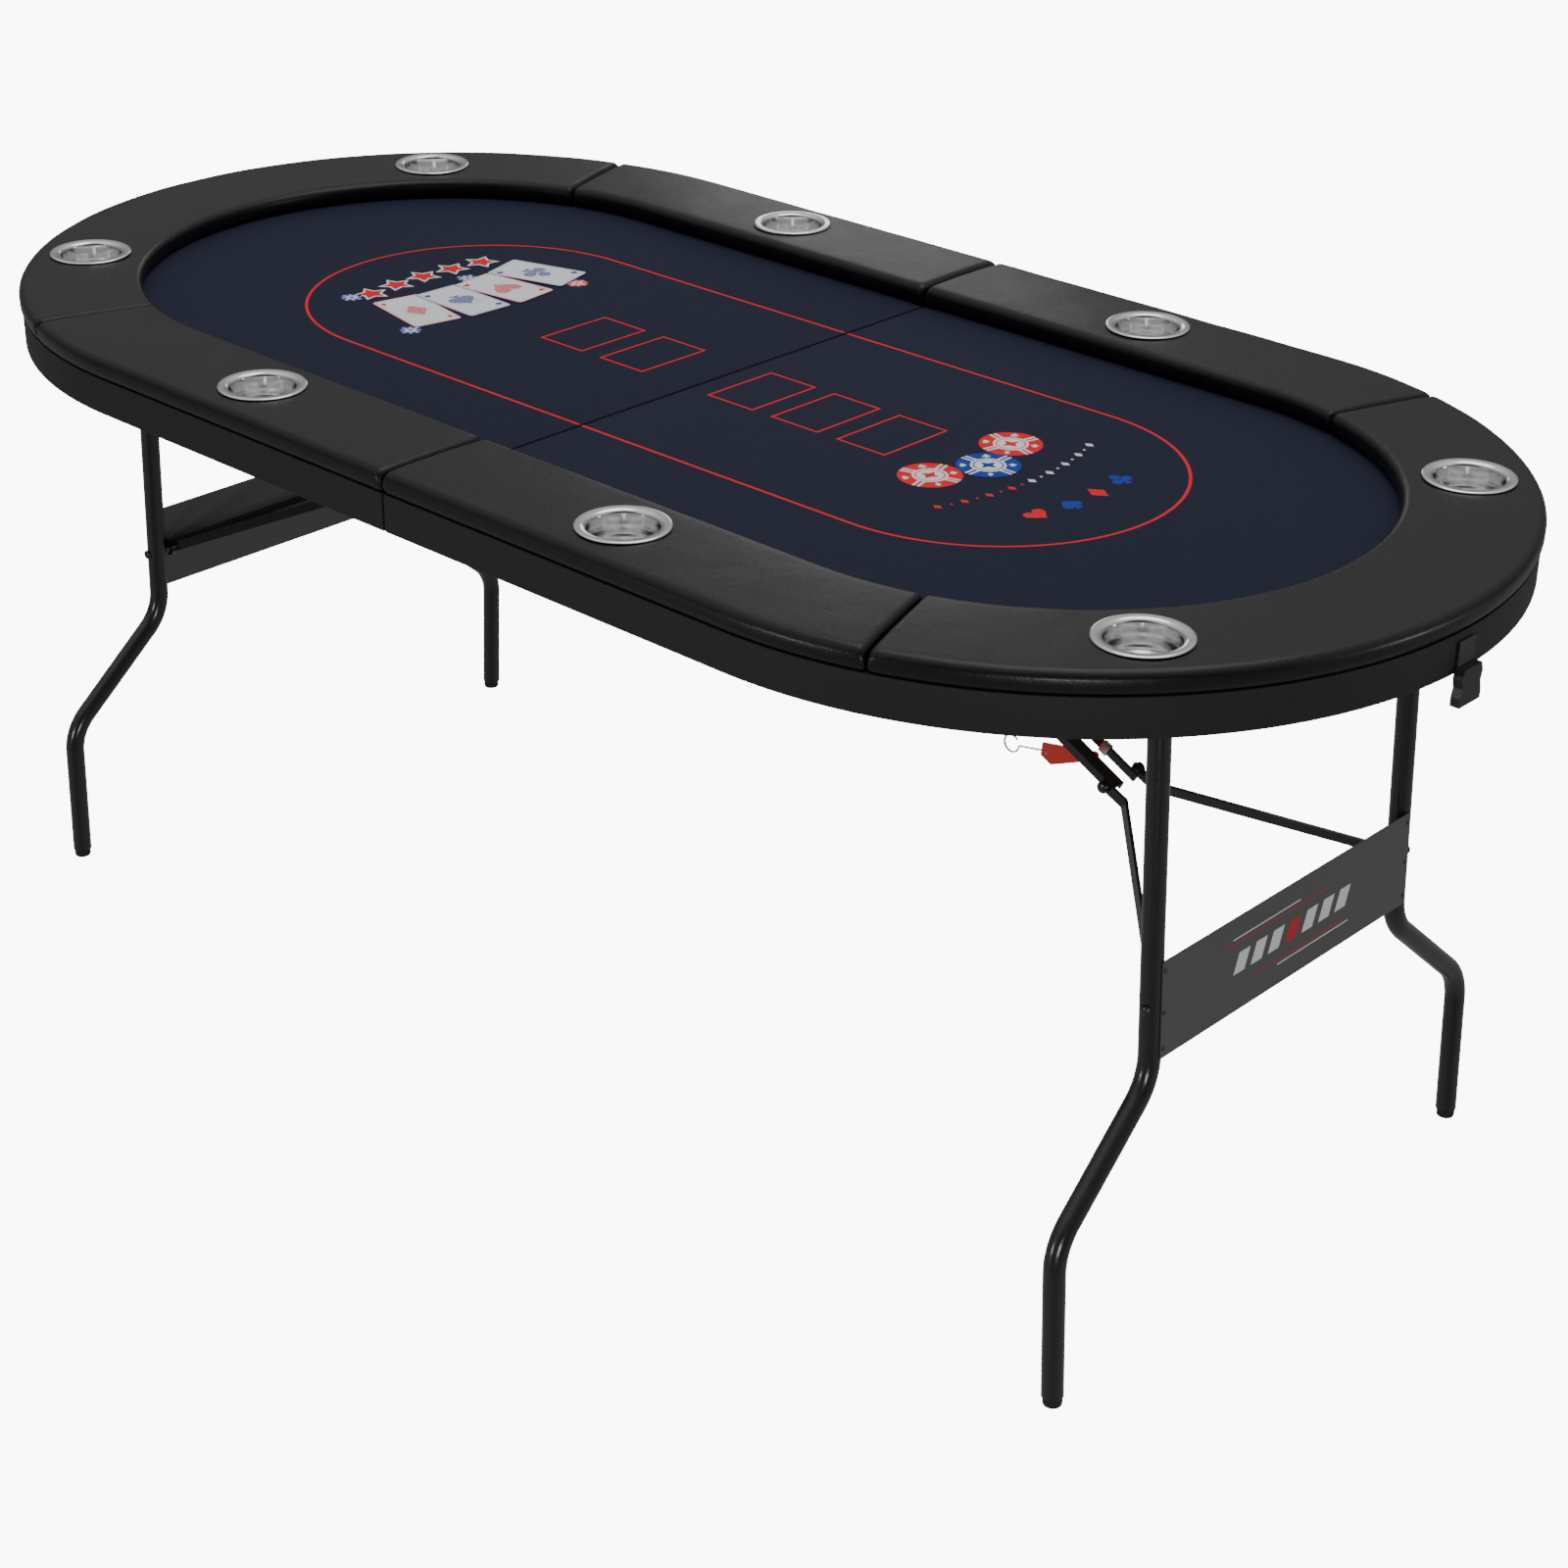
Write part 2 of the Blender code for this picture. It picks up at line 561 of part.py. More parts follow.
def slide_clip(side, swing):
    """Silver clip round the flat bar, a little above the knee."""
    inner_y = BAR_THICKNESS / 2 + GAP
    inner_z = LINK_DEPTH / 2 + GAP
    outer_y = inner_y + CLIP_SHEET
    low_x = LINK_LENGTH - CLIP_BACK - CLIP_WIDTH / 2
    high_x = low_x + CLIP_WIDTH
    outside = box((low_x, LINK_Y - outer_y, -inner_z - CLIP_SHEET),
                  (high_x, LINK_Y + outer_y, inner_z + CLIP_SHEET / 2))
    clip = solid(side + "_slide_clip", outside, ZINC, swing)
    inside = box((low_x - CLIP_WIDTH, LINK_Y - inner_y, -inner_z),
                 (high_x + CLIP_WIDTH, LINK_Y + inner_y, inner_z))
    combine(clip, solid("inside", inside), "DIFFERENCE")


def brace_bracket(side, half):
    """Block under the board, between the two links, with the pin that both links turn on."""
    pin_x, pin_z = BRACKET_PIN
    top = BOARD_UNDER - GAP
    low = pin_z - LINK_DEPTH
    outline = [(pin_x - BRACKET_REACH, top), (pin_x + BRACKET_REACH, top),
               (pin_x + BRACKET_REACH, top - BRACKET_FLANGE), (pin_x + BRACKET_NOSE, low),
               (pin_x - BRACKET_NOSE, low), (pin_x - BRACKET_REACH, top - BRACKET_FLANGE)]
    near = -LINK_Y + CHANNEL_WIDTH / 2 + GAP
    far = LINK_Y - BAR_THICKNESS / 2 - GAP
    block = solid(side + "_brace_bracket", prism(outline, near, far, "Y"), BLACK_PAINT, half)
    pin_near = -LINK_Y - CHANNEL_WIDTH / 2 - GAP
    pin_far = LINK_Y + BAR_THICKNESS / 2 + GAP
    spans = ((PIN_RADIUS, pin_near - PIN_HEAD_HEIGHT / 2, pin_far + PIN_HEAD_HEIGHT / 2),
             (PIN_RADIUS + PIN_HEAD, pin_near - PIN_HEAD_HEIGHT, pin_near),
             (PIN_RADIUS + PIN_HEAD, pin_far, pin_far + PIN_HEAD_HEIGHT))
    for radius, low_y, high_y in spans:
        combine(block, solid("pin", rod(radius, low_y, high_y, "Y", BRACKET_PIN)), "UNION")


def lock_lever(side, swing):
    """Red sheet lever beside the channel, with a wire finger pull. Local +X runs to the knee."""
    inner = -LINK_Y + CHANNEL_WIDTH / 2 + GAP
    face = inner + LEVER_SHEET
    nose = LINK_DEPTH / 2
    # Round the pivot, so that the lever stays below the top of the channel over its travel.
    steps = 8
    turns = [-math.pi / 2 + (math.pi + LEVER_TRAVEL) * i / steps for i in range(steps + 1)]
    outline = [(nose * math.cos(a), nose * math.sin(a)) for a in turns]
    outline += [(-LEVER_BACK - LEVER_TIP, -LEVER_DROP + LEVER_TIP),
                (-LEVER_BACK - LEVER_TIP / 2, -LEVER_DROP - LEVER_TIP / 3),
                (-LEVER_BACK + LEVER_TIP, -LEVER_DROP - LEVER_TIP / 3), (-nose, -nose - LEVER_ROOT)]
    lever = solid(side + "_lock_lever", prism(outline, inner, face, "Y"), RED_PAINT, swing)
    hole_x = -LEVER_BACK
    hole_z = -LEVER_DROP + LEVER_TIP / 2
    hole = rod(PULL_WIRE + PIN_PLAY, inner - LEVER_TIP, inner + LEVER_TIP, "Y", (hole_x, hole_z), 10)
    combine(lever, solid("hole", hole), "DIFFERENCE")
    rivet = rod(LEVER_RIVET, face - LEVER_SHEET / 2, face + LEVER_SHEET, "Y", sides=12)
    combine(lever, solid("rivet", rivet), "UNION")
    # The pull: a hook through the lever, a straight run, and an open finger loop.
    y = face + GAP + PULL_WIRE
    behind = inner - GAP - PULL_WIRE
    centre = Vector((hole_x - PULL_RUN.x - PULL_LOOP, y, hole_z - PULL_RUN.y))
    route = [Vector((hole_x, behind, hole_z)), Vector((hole_x, y, hole_z))]
    for i in range(PULL_STEPS + 1):
        a = PULL_BEND - i * PULL_TURN / PULL_STEPS
        route.append(centre + Vector((math.cos(a), 0, math.sin(a))) * PULL_LOOP)
    solid(side + "_lever_pull", tube(route, PULL_WIRE, 6), ZINC, swing, smooth=True)


def saddles(side, half):
    """Sheet saddles that hold the crossbar up to the board."""
    inner = TUBE_RADIUS + PIN_PLAY
    outer = inner + SADDLE_SHEET
    top = BOARD_UNDER - GAP
    steps = 8
    turns = [math.pi + math.pi * i / steps for i in range(steps + 1)]
    outside = [(PIVOT_X + outer * math.cos(a), PIVOT_Z + outer * math.sin(a)) for a in turns]
    inside = [(PIVOT_X + inner * math.cos(a), PIVOT_Z + inner * math.sin(a)) for a in reversed(turns)]
    flange = outer + SADDLE_FLANGE
    under = top - SADDLE_SHEET
    outline = [(PIVOT_X - flange, under), (PIVOT_X - outer, under)] + outside
    outline += [(PIVOT_X + outer, under), (PIVOT_X + flange, under), (PIVOT_X + flange, top)]
    outline += [(PIVOT_X + inner, top)] + inside + [(PIVOT_X - inner, top), (PIVOT_X - flange, top)]
    for place, sign in (("near", -1), ("far", 1)):
        middle = sign * SADDLE_Y
        bm = prism(outline, middle - SADDLE_WIDTH / 2, middle + SADDLE_WIDTH / 2, "Y")
        solid(side + "_saddle_" + place, bm, ZINC, half)


def tip_buckle(side, half, is_socket):
    """Short webbing strap on the tip of the apron, and one half of a side-release buckle."""
    skin = LENGTH / 2 + GAP
    top = SURFACE - STRAP_TOP_DROP
    low = top - STRAP_LENGTH
    strap_x = skin + STRAP_THICKNESS
    strap = box((skin, -STRAP_WIDTH / 2, low), (strap_x, STRAP_WIDTH / 2, top))
    solid(side + "_strap", strap, WEBBING, half)
    if is_socket:
        outline = [(-0.42, 0), (0.42, 0), (0.5, -0.25), (0.43, -0.5), (0.5, -0.75), (0.5, -1),
                   (-0.5, -1), (-0.5, -0.75), (-0.43, -0.5), (-0.5, -0.25)]
    else:
        outline = [(-0.5, 0), (0.5, 0), (0.5, -0.4), (0.42, -0.4), (0.42, -0.6), (0.5, -0.75), (0.36, -1),
                   (0.24, -0.9), (0.24, -0.5), (-0.24, -0.5), (-0.24, -0.9), (-0.36, -1), (-0.5, -0.75),
                   (-0.42, -0.6), (-0.42, -0.4), (-0.5, -0.4)]
    outline = [(y * BUCKLE_WIDTH, low - GAP + z * BUCKLE_HEIGHT) for y, z in outline]
    buckle = solid(side + ("_buckle_socket" if is_socket else "_buckle_plug"),
                   prism(outline, skin, skin + BUCKLE_THICKNESS, "X"), PLASTIC, half)
    if is_socket:
        mouth_low = low - GAP - BUCKLE_HEIGHT
        reach = BUCKLE_WIDTH * BUCKLE_MOUTH_WIDTH / 2
        mouth_high = mouth_low + BUCKLE_HEIGHT * BUCKLE_MOUTH_HEIGHT
        mouth = box((skin + BUCKLE_WALL, -reach, mouth_low - BUCKLE_WALL),
                    (skin + BUCKLE_THICKNESS - BUCKLE_WALL, reach, mouth_high))
        combine(buckle, solid("mouth", mouth), "DIFFERENCE")


def centre_hinges():
    """Two butt hinges under the cross rails: two leaves with knuckles, and a pin."""
    half = HINGE_LENGTH / 2
    knuckle_half = HINGE_LENGTH / 6
    top = APRON_BOTTOM - GAP
    axis = (0, HINGE_AXIS_Z)
    for place, sign in (("near", -1), ("far", 1)):
        middle = sign * HINGE_Y
        spans = {"left": [(-knuckle_half + GAP, knuckle_half - GAP)],
                 "right": [(-half, -knuckle_half - GAP), (knuckle_half + GAP, half)]}
        for side, direction in (("left", -1), ("right", 1)):
            low_x, high_x = sorted((direction * (HINGE_BARREL + GAP), direction * (FOLD_X + HINGE_LEAF)))
            leaf = box((low_x, middle - half, top - HINGE_SHEET), (high_x, middle + half, top))
            made = solid(side + "_hinge_leaf_" + place, leaf, ZINC)
            for low, high in spans[side]:
                knuckle = rod(HINGE_BARREL, middle + low, middle + high, "Y", axis, 16)
                combine(made, solid("knuckle", knuckle), "UNION")
                low_x, high_x = sorted((0, direction * (HINGE_BARREL + HINGE_SHEET)))
                tongue = box((low_x, middle + low, top - HINGE_SHEET), (high_x, middle + high, top - GAP))
                combine(made, solid("tongue", tongue), "UNION")
            low, high = middle - HINGE_LENGTH, middle + HINGE_LENGTH
            bore = rod(HINGE_PIN_RADIUS + PIN_PLAY, low, high, "Y", axis, 12)
            combine(made, solid("bore", bore), "DIFFERENCE")
        reach = half + HINGE_PIN_OVER
        pin = rod(HINGE_PIN_RADIUS, middle - reach, middle + reach, "Y", axis, 12)
        solid("hinge_pin_" + place, pin, ZINC)


def table_half(side, turn):
    """All of one half, modelled toward +X and turned about Z."""
    half = frame(side + "_half", turn=(0, 0, turn))
    top_board(side, half)
    play_cloth(side, half)
    apron(side, half)
    rail_pads(side, half)
    cups(side, half)
    saddles(side, half)
    brace_bracket(side, half)
    tip_buckle(side, half, side == "right")
    leg = frame(side + "_leg_axis", half, (PIVOT_X, 0, PIVOT_Z), (0, -LEG_LEAN, 0))
    leg_frame(side, leg)
    leg_panel(side, leg)
    stretcher(side, leg)
    v_swing = frame(side + "_v_brace_axis", half, (STRETCHER_XZ.x, 0, STRETCHER_XZ.y), (0, V_ANGLE, 0))
    v_brace(side, v_swing)
    link = frame(side + "_link_axis", half, (BRACKET_PIN.x, 0, BRACKET_PIN.y), (0, LINK_ANGLE, 0))
    brace_links(side, link)
    slide_clip(side, link)
    lever = frame(side + "_lever_axis", link, (LINK_LENGTH - LEVER_PIVOT_BACK, 0, 0))
    lock_lever(side, lever)


start()
table_half("right", 0)
table_half("left", math.pi)
centre_hinges()
bpy.context.view_layer.update()
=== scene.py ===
"""Looks of the folding eight-seat card table: upholstery, cloth, prints, metal and plastic."""

import json
import math

import bmesh
import bpy
from mathutils import Matrix, Vector, noise


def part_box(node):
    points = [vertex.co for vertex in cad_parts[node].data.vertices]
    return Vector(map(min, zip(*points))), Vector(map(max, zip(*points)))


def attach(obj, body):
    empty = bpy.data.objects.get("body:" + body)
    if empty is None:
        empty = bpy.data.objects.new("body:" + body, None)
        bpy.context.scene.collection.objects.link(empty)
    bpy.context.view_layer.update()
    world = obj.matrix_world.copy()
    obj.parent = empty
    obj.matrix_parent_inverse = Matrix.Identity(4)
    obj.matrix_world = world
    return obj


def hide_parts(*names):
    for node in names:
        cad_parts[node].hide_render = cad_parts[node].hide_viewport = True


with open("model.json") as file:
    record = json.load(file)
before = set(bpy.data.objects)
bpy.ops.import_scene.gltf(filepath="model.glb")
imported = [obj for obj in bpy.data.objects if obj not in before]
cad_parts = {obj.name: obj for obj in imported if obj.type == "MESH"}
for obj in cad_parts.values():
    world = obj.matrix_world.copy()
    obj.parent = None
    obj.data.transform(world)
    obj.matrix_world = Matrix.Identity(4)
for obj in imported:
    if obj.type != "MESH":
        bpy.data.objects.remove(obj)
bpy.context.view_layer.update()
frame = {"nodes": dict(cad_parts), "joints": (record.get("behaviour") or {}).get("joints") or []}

# The left half is the right half turned half a turn about Z, so every piece is modelled toward
# +X and turned before its mesh is stored.
SIDES = {"right": Matrix.Identity(4), "left": Matrix.Rotation(math.pi, 4, "Z")}

# ------------------------------------------------------------------ rail pads
# Six upholstered pads of black faux leather over foam, stapled under the rail. Each is pulled
# tight over a crisp rounded edge, tucks in at its seams, and is pierced by the cup holders.
APRON_LOW, APRON_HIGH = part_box("right_apron")
PAD_LOW, PAD_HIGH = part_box("right_rail_pad_end")
CLOTH_LOW, CLOTH_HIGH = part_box("right_play_cloth")
OUTER_RADIUS = APRON_HIGH.y
INNER_RADIUS = CLOTH_HIGH.y
ARC_X = APRON_HIGH.x - OUTER_RADIUS     # centre of the round end
FOLD_X = APRON_LOW.x
PAD_WIDTH = OUTER_RADIUS - INNER_RADIUS
EDGE_RADIUS = 0.0085
EDGE_STEPS = 6
TOP_STEPS = 16
TUCK = 0.0035           # how far the cover pulls in under the edge
TUCK_RISES = (0.003, 0.008)
CROWN = 0.0010
SEAM_ROUND = 0.0075     # radius at each end of a pad
SEAM_DRAW = 0.35        # how much the sides draw in as the top drops at a seam
END_SEAM = math.radians(71.5)
SEAM_HALF_GAP = 0.0012
BULGE = 0.0016          # how far the foam pushes the sides out
SAG = 0.0004
SAG_SCALE = 22
PUCKER = 0.0012         # small gathers beside a seam
PUCKER_REACH = 0.012
PUCKER_ACROSS = 90
PUCKER_ALONG = 8
PAD_STEP = 0.006
SEAM_STATIONS = (0.0, 0.0004, 0.0012, 0.0025, 0.0042, 0.0060, 0.0080, 0.0110)
CUP_BORE = 0.0362


def new_material(name, colour, roughness, metallic=0.0, **extra):
    """A Principled material. Extra sockets are given by name, with _ for a space."""
    made = bpy.data.materials.new(name)
    made.use_nodes = True
    shader = made.node_tree.nodes["Principled BSDF"]
    shader.inputs["Base Color"].default_value = (*colour, 1.0)
    shader.inputs["Roughness"].default_value = roughness
    shader.inputs["Metallic"].default_value = metallic
    for socket, value in extra.items():
        shader.inputs[socket.replace("_", " ")].default_value = value
    return made


def add(tree, kind, **sockets):
    """A node in a material's or a group's tree, with its sockets set by name."""
    node = tree.nodes.new(kind)
    for socket, value in sockets.items():
        node.inputs[socket.replace("_", " ")].default_value = value
    return node


def effect(name, inputs, output):
    """A new shader node group with named number inputs and one output, and its two end nodes."""
    group = bpy.data.node_groups.new(name, "ShaderNodeTree")
    for socket in inputs:
        group.interface.new_socket(socket, in_out="INPUT", socket_type="NodeSocketFloat")
    group.interface.new_socket(output, in_out="OUTPUT", socket_type="NodeSocketFloat")
    return group, group.nodes.new("NodeGroupInput"), group.nodes.new("NodeGroupOutput")


def one_texture(name, kind, inputs, output):
    """An effect of one texture on Object coordinates."""
    group, given, result = effect(name, inputs, output)
    place = add(group, "ShaderNodeTexCoord")
    pattern = add(group, kind)
    group.links.new(place.outputs["Object"], pattern.inputs["Vector"])
    for socket in inputs:
        group.links.new(given.outputs[socket], pattern.inputs[socket])
    group.links.new(pattern.outputs[output], result.inputs[output])
    return group


PEBBLE = one_texture("pebble", "ShaderNodeTexVoronoi", ("Scale",), "Distance")
SPECKLE = one_texture("speckle", "ShaderNodeTexNoise", ("Scale", "Detail", "Roughness"), "Fac")


def place_effect(material, group, **values):
    """Put an effect in a material with its own values, and give its output."""
    node = material.node_tree.nodes.new("ShaderNodeGroup")
    node.node_tree = group
    for socket, value in values.items():
        node.inputs[socket].default_value = value
    return node.outputs[0]


def pebble(material, scale):
    """Rounded cells, for leather grain and pebbled skin."""
    return place_effect(material, PEBBLE, Scale=scale)


def speckle(material, scale, detail, roughness=0.5):
    """Soft noise, for the small unevenness of a surface."""
    return place_effect(material, SPECKLE, Scale=scale, Detail=detail, Roughness=roughness)


def feed(material, output, socket):
    """Join an output to a socket of the material's shader."""
    material.node_tree.links.new(output, material.node_tree.nodes["Principled BSDF"].inputs[socket])


def bump(material, height, distance, strength, below=None):
    """A bump on the shader's normal, or on top of another bump."""
    node = add(material.node_tree, "ShaderNodeBump", Distance=distance, Strength=strength)
    material.node_tree.links.new(height, node.inputs["Height"])
    if below:
        material.node_tree.links.new(below.outputs["Normal"], node.inputs["Normal"])
    feed(material, node.outputs["Normal"], "Normal")
    return node


def vary_roughness(material, value, low, high):
    """Spread the roughness over a range by a 0 to 1 value."""
    node = add(material.node_tree, "ShaderNodeMapRange", To_Min=low, To_Max=high)
    material.node_tree.links.new(value, node.inputs["Value"])
    feed(material, node.outputs["Result"], "Roughness")


LEATHER = new_material("leather_black", (0.0060, 0.0060, 0.0064), 0.32, Specular_IOR_Level=0.32,
                       Coat_Weight=0.08, Coat_Roughness=0.16)
grain = bump(LEATHER, pebble(LEATHER, 620.0), 0.00022, 0.55)
bump(LEATHER, speckle(LEATHER, 38.0, 3.0, 0.55), 0.0016, 0.35, grain)
vary_roughness(LEATHER, speckle(LEATHER, 9.0, 4.0, 0.6), 0.29, 0.42)


def piece(name, bm, material, body, replaces=(), turn=None, smooth_angle=35, looks=None):
    """Store a bmesh as an object that rides on a CAD body. A flat film looks one given way."""
    if turn:
        bmesh.ops.transform(bm, matrix=turn, verts=bm.verts)
    if looks:
        bm.normal_update()
        backward = [face for face in bm.faces if face.normal.dot(looks) < 0]
        bmesh.ops.reverse_faces(bm, faces=backward)
    else:
        bmesh.ops.recalc_face_normals(bm, faces=bm.faces)
    mesh = bpy.data.meshes.new(name)
    bm.to_mesh(mesh)
    bm.free()
    mesh.materials.append(material)
    for face in mesh.polygons:
        face.use_smooth = True
    mesh.set_sharp_from_angle(angle=math.radians(smooth_angle))
    made = bpy.data.objects.new(name, mesh)
    bpy.context.scene.collection.objects.link(made)
    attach(made, body)
    if replaces:
        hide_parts(*replaces)
    return made


def skin(bm, rings, endless=False):
    """Bridge neighbouring rings of vertices, and fill both ends unless the last meets the first."""
    loops = []
    for ring in rings:
        pairs = zip(ring, ring[1:] + ring[:1])
        loops.append([bm.edges.get(pair) or bm.edges.new(pair) for pair in pairs])
    following = loops[1:] + loops[:1] if endless else loops[1:]
    for one, two in zip(loops, following):
        bmesh.ops.bridge_loops(bm, edges=one + two)
    if not endless:
        bmesh.ops.edgeloop_fill(bm, edges=loops[0] + loops[-1])


def carve(target, tool, solver):
    """Cut a bmesh tool out of a piece, and keep the result as its mesh."""
    mesh = bpy.data.meshes.new("tool")
    tool.to_mesh(mesh)
    tool.free()
    cutter = bpy.data.objects.new("tool", mesh)
    bpy.context.scene.collection.objects.link(cutter)
    cut = target.modifiers.new("cut", "BOOLEAN")
    cut.object = cutter
    cut.operation = "DIFFERENCE"
    cut.solver = solver
    bpy.context.view_layer.update()
    shown = target.evaluated_get(bpy.context.evaluated_depsgraph_get())
    target.data = bpy.data.meshes.new_from_object(shown)
    target.modifiers.clear()
    bpy.data.objects.remove(cutter, do_unlink=True)


def pad_section(drop):
    """Distance from the outer edge and height, pulled in and down by a drop near a seam."""
    low = PAD_LOW.z
    top = PAD_HIGH.z - drop
    draw = drop * SEAM_DRAW
    outer = EDGE_RADIUS + draw
    inner = PAD_WIDTH - EDGE_RADIUS - draw
    tucks = [(TUCK, low), (TUCK * 0.3, low + TUCK_RISES[0]), (0.0, low + TUCK_RISES[1])]
    points = [(draw + tuck, z) for tuck, z in tucks]
    for i in range(EDGE_STEPS + 1):
        a = math.pi - i * math.pi / 2 / EDGE_STEPS
        points.append((outer + EDGE_RADIUS * math.cos(a), top - CROWN - EDGE_RADIUS * (1 - math.sin(a))))
    for i in range(1, TOP_STEPS):
        u = i / TOP_STEPS
        points.append((outer + u * (inner - outer), top - CROWN * (2 * u - 1) ** 2))
    for i in range(EDGE_STEPS + 1):
        a = math.pi / 2 - i * math.pi / 2 / EDGE_STEPS
        points.append((inner + EDGE_RADIUS * math.cos(a), top - CROWN - EDGE_RADIUS * (1 - math.sin(a))))
    points += [(PAD_WIDTH - draw - tuck, z) for tuck, z in reversed(tucks)]
    filled = []
    for inward, z in points:
        push = 0.0
        if min(inward, PAD_WIDTH - inward) < EDGE_RADIUS:
            push = BULGE * math.sin(math.pi * (z - low) / (top - low))
        filled.append((inward - push if inward < PAD_WIDTH / 2 else inward + push * 0.5, z))
    return filled


def pad_mesh(stations, length):
    """A pad swept through stations of centre, outward direction and distance along."""
    bm = bmesh.new()
    rings = []
    for centre, across, along in stations:
        near = min(along, length - along)
        drop = 0.0
        if near < SEAM_ROUND:
            drop = SEAM_ROUND - math.sqrt(SEAM_ROUND ** 2 - (SEAM_ROUND - near) ** 2)
        ring = []
        for inward, z in pad_section(drop):
            spot = centre + across * (OUTER_RADIUS - inward)
            lift = (z - PAD_LOW.z) / (PAD_HIGH.z - PAD_LOW.z)
            sag = SAG + SAG * noise.noise(Vector((spot.x, spot.y, z)) * SAG_SCALE)
            gather = noise.noise(Vector((inward * PUCKER_ACROSS, spot.x * PUCKER_ALONG, 3.0)))
            pucker = PUCKER * math.exp(-near / PUCKER_REACH) * gather
            ring.append(bm.verts.new((spot.x, spot.y, z - (sag + abs(pucker)) * lift)))
        rings.append(ring)
    skin(bm, rings)
    return bm


def stations_along(length):
    """Distances from 0 to a length, close together near both ends."""
    first = SEAM_STATIONS[-1]
    count = max(2, round((length - 2 * first) / PAD_STEP))
    middle = [first + (length - 2 * first) * i / count for i in range(1, count)]
    return [*SEAM_STATIONS, *middle, *(length - d for d in reversed(SEAM_STATIONS))]


def rail_pad(name, stations, length, side, turn, cups):
    """One upholstered pad, pierced for its cups."""
    pad = piece(name + "_cover", pad_mesh(stations, length), LEATHER, side + "_half",
                [name], turn, 60)
    bores = bmesh.new()
    for which in cups:
        low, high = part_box(f"{side}_cup_{which}")
        bmesh.ops.create_cone(bores, cap_ends=True, segments=64, radius1=CUP_BORE, radius2=CUP_BORE,
                              depth=0.2, matrix=Matrix.Translation((low + high) / 2))
    carve(pad, bores, "MANIFOLD")


STRAIGHT = ARC_X - FOLD_X
SIDE_LENGTH = STRAIGHT + OUTER_RADIUS * (math.pi / 2 - END_SEAM) - SEAM_HALF_GAP
END_HALF = OUTER_RADIUS * END_SEAM - SEAM_HALF_GAP
ARC_CENTRE = Vector((ARC_X, 0, 0))
for side, turn in SIDES.items():
    for which, sign in (("near", -1), ("far", 1)):
        stations = []
        for d in stations_along(SIDE_LENGTH):
            a = math.pi / 2 - max(0.0, d - STRAIGHT) / OUTER_RADIUS
            centre = ARC_CENTRE - Vector((max(0.0, STRAIGHT - d), 0, 0))
            stations.append((centre, Vector((math.cos(a), sign * math.sin(a), 0)), d))
        rail_pad(f"{side}_rail_pad_{which}", stations, SIDE_LENGTH, side, turn, ["side_" + which])
    stations = []
    for d in stations_along(2 * END_HALF):
        a = (END_HALF - d) / OUTER_RADIUS
        stations.append((ARC_CENTRE, Vector((math.cos(a), math.sin(a), 0)), d))
    rail_pad(side + "_rail_pad_end", stations, 2 * END_HALF, side, turn, ["end_near", "end_far"])

# ------------------------------------------------------------------ playing cloth
# Navy polyester speed cloth, stretched over the board and rounded down into the fold seam.
# The weave is a fine crossed rib with a slight melange.
CLOTH_TUCK = 0.003      # how far the cloth runs in under the pads
FOLD_ROUND = 0.0011
WEAVE_SCALE = 330.0

WEAVE, given, result = effect("weave", ("Scale",), "Height")
place = add(WEAVE, "ShaderNodeTexCoord")
cross = add(WEAVE, "ShaderNodeMath")
cross.operation = "MAXIMUM"
for direction, corner in (("X", 0), ("Y", 1)):
    rib = add(WEAVE, "ShaderNodeTexWave", Distortion=0.6, Detail=1.0)
    rib.bands_direction = direction
    WEAVE.links.new(place.outputs["Object"], rib.inputs["Vector"])
    WEAVE.links.new(given.outputs["Scale"], rib.inputs["Scale"])
    WEAVE.links.new(rib.outputs["Fac"], cross.inputs[corner])
WEAVE.links.new(cross.outputs[0], result.inputs["Height"])


def tint(material, value, dark, light):
    """Mix two colours by a 0 to 1 value, into the base colour."""
    node = material.node_tree.nodes.new("ShaderNodeMix")
    node.data_type = "RGBA"
    node.inputs[6].default_value = (*dark, 1.0)
    node.inputs[7].default_value = (*light, 1.0)
    material.node_tree.links.new(value, node.inputs[0])
    feed(material, node.outputs[2], "Base Color")


CLOTH = new_material("cloth_navy", (0.012, 0.014, 0.027), 0.88, Sheen_Weight=0.10,
                     Sheen_Roughness=0.45, Specular_IOR_Level=0.25,
                     Sheen_Tint=(0.45, 0.52, 0.85, 1.0))
bump(CLOTH, place_effect(CLOTH, WEAVE, Scale=WEAVE_SCALE), 0.00025, 0.5)
tint(CLOTH, speckle(CLOTH, 420.0, 2.0), (0.0080, 0.0094, 0.0265), (0.0155, 0.0180, 0.0480))


def half_outline(radius, fold_x, steps, arc_x=ARC_X):
    """The D-shaped outline of one half."""
    turns = [math.pi / 2 - math.pi * i / steps for i in range(steps + 1)]
    curve = [(arc_x + radius * math.cos(a), radius * math.sin(a)) for a in turns]
    return [(fold_x, radius)] + curve + [(fold_x, -radius)]


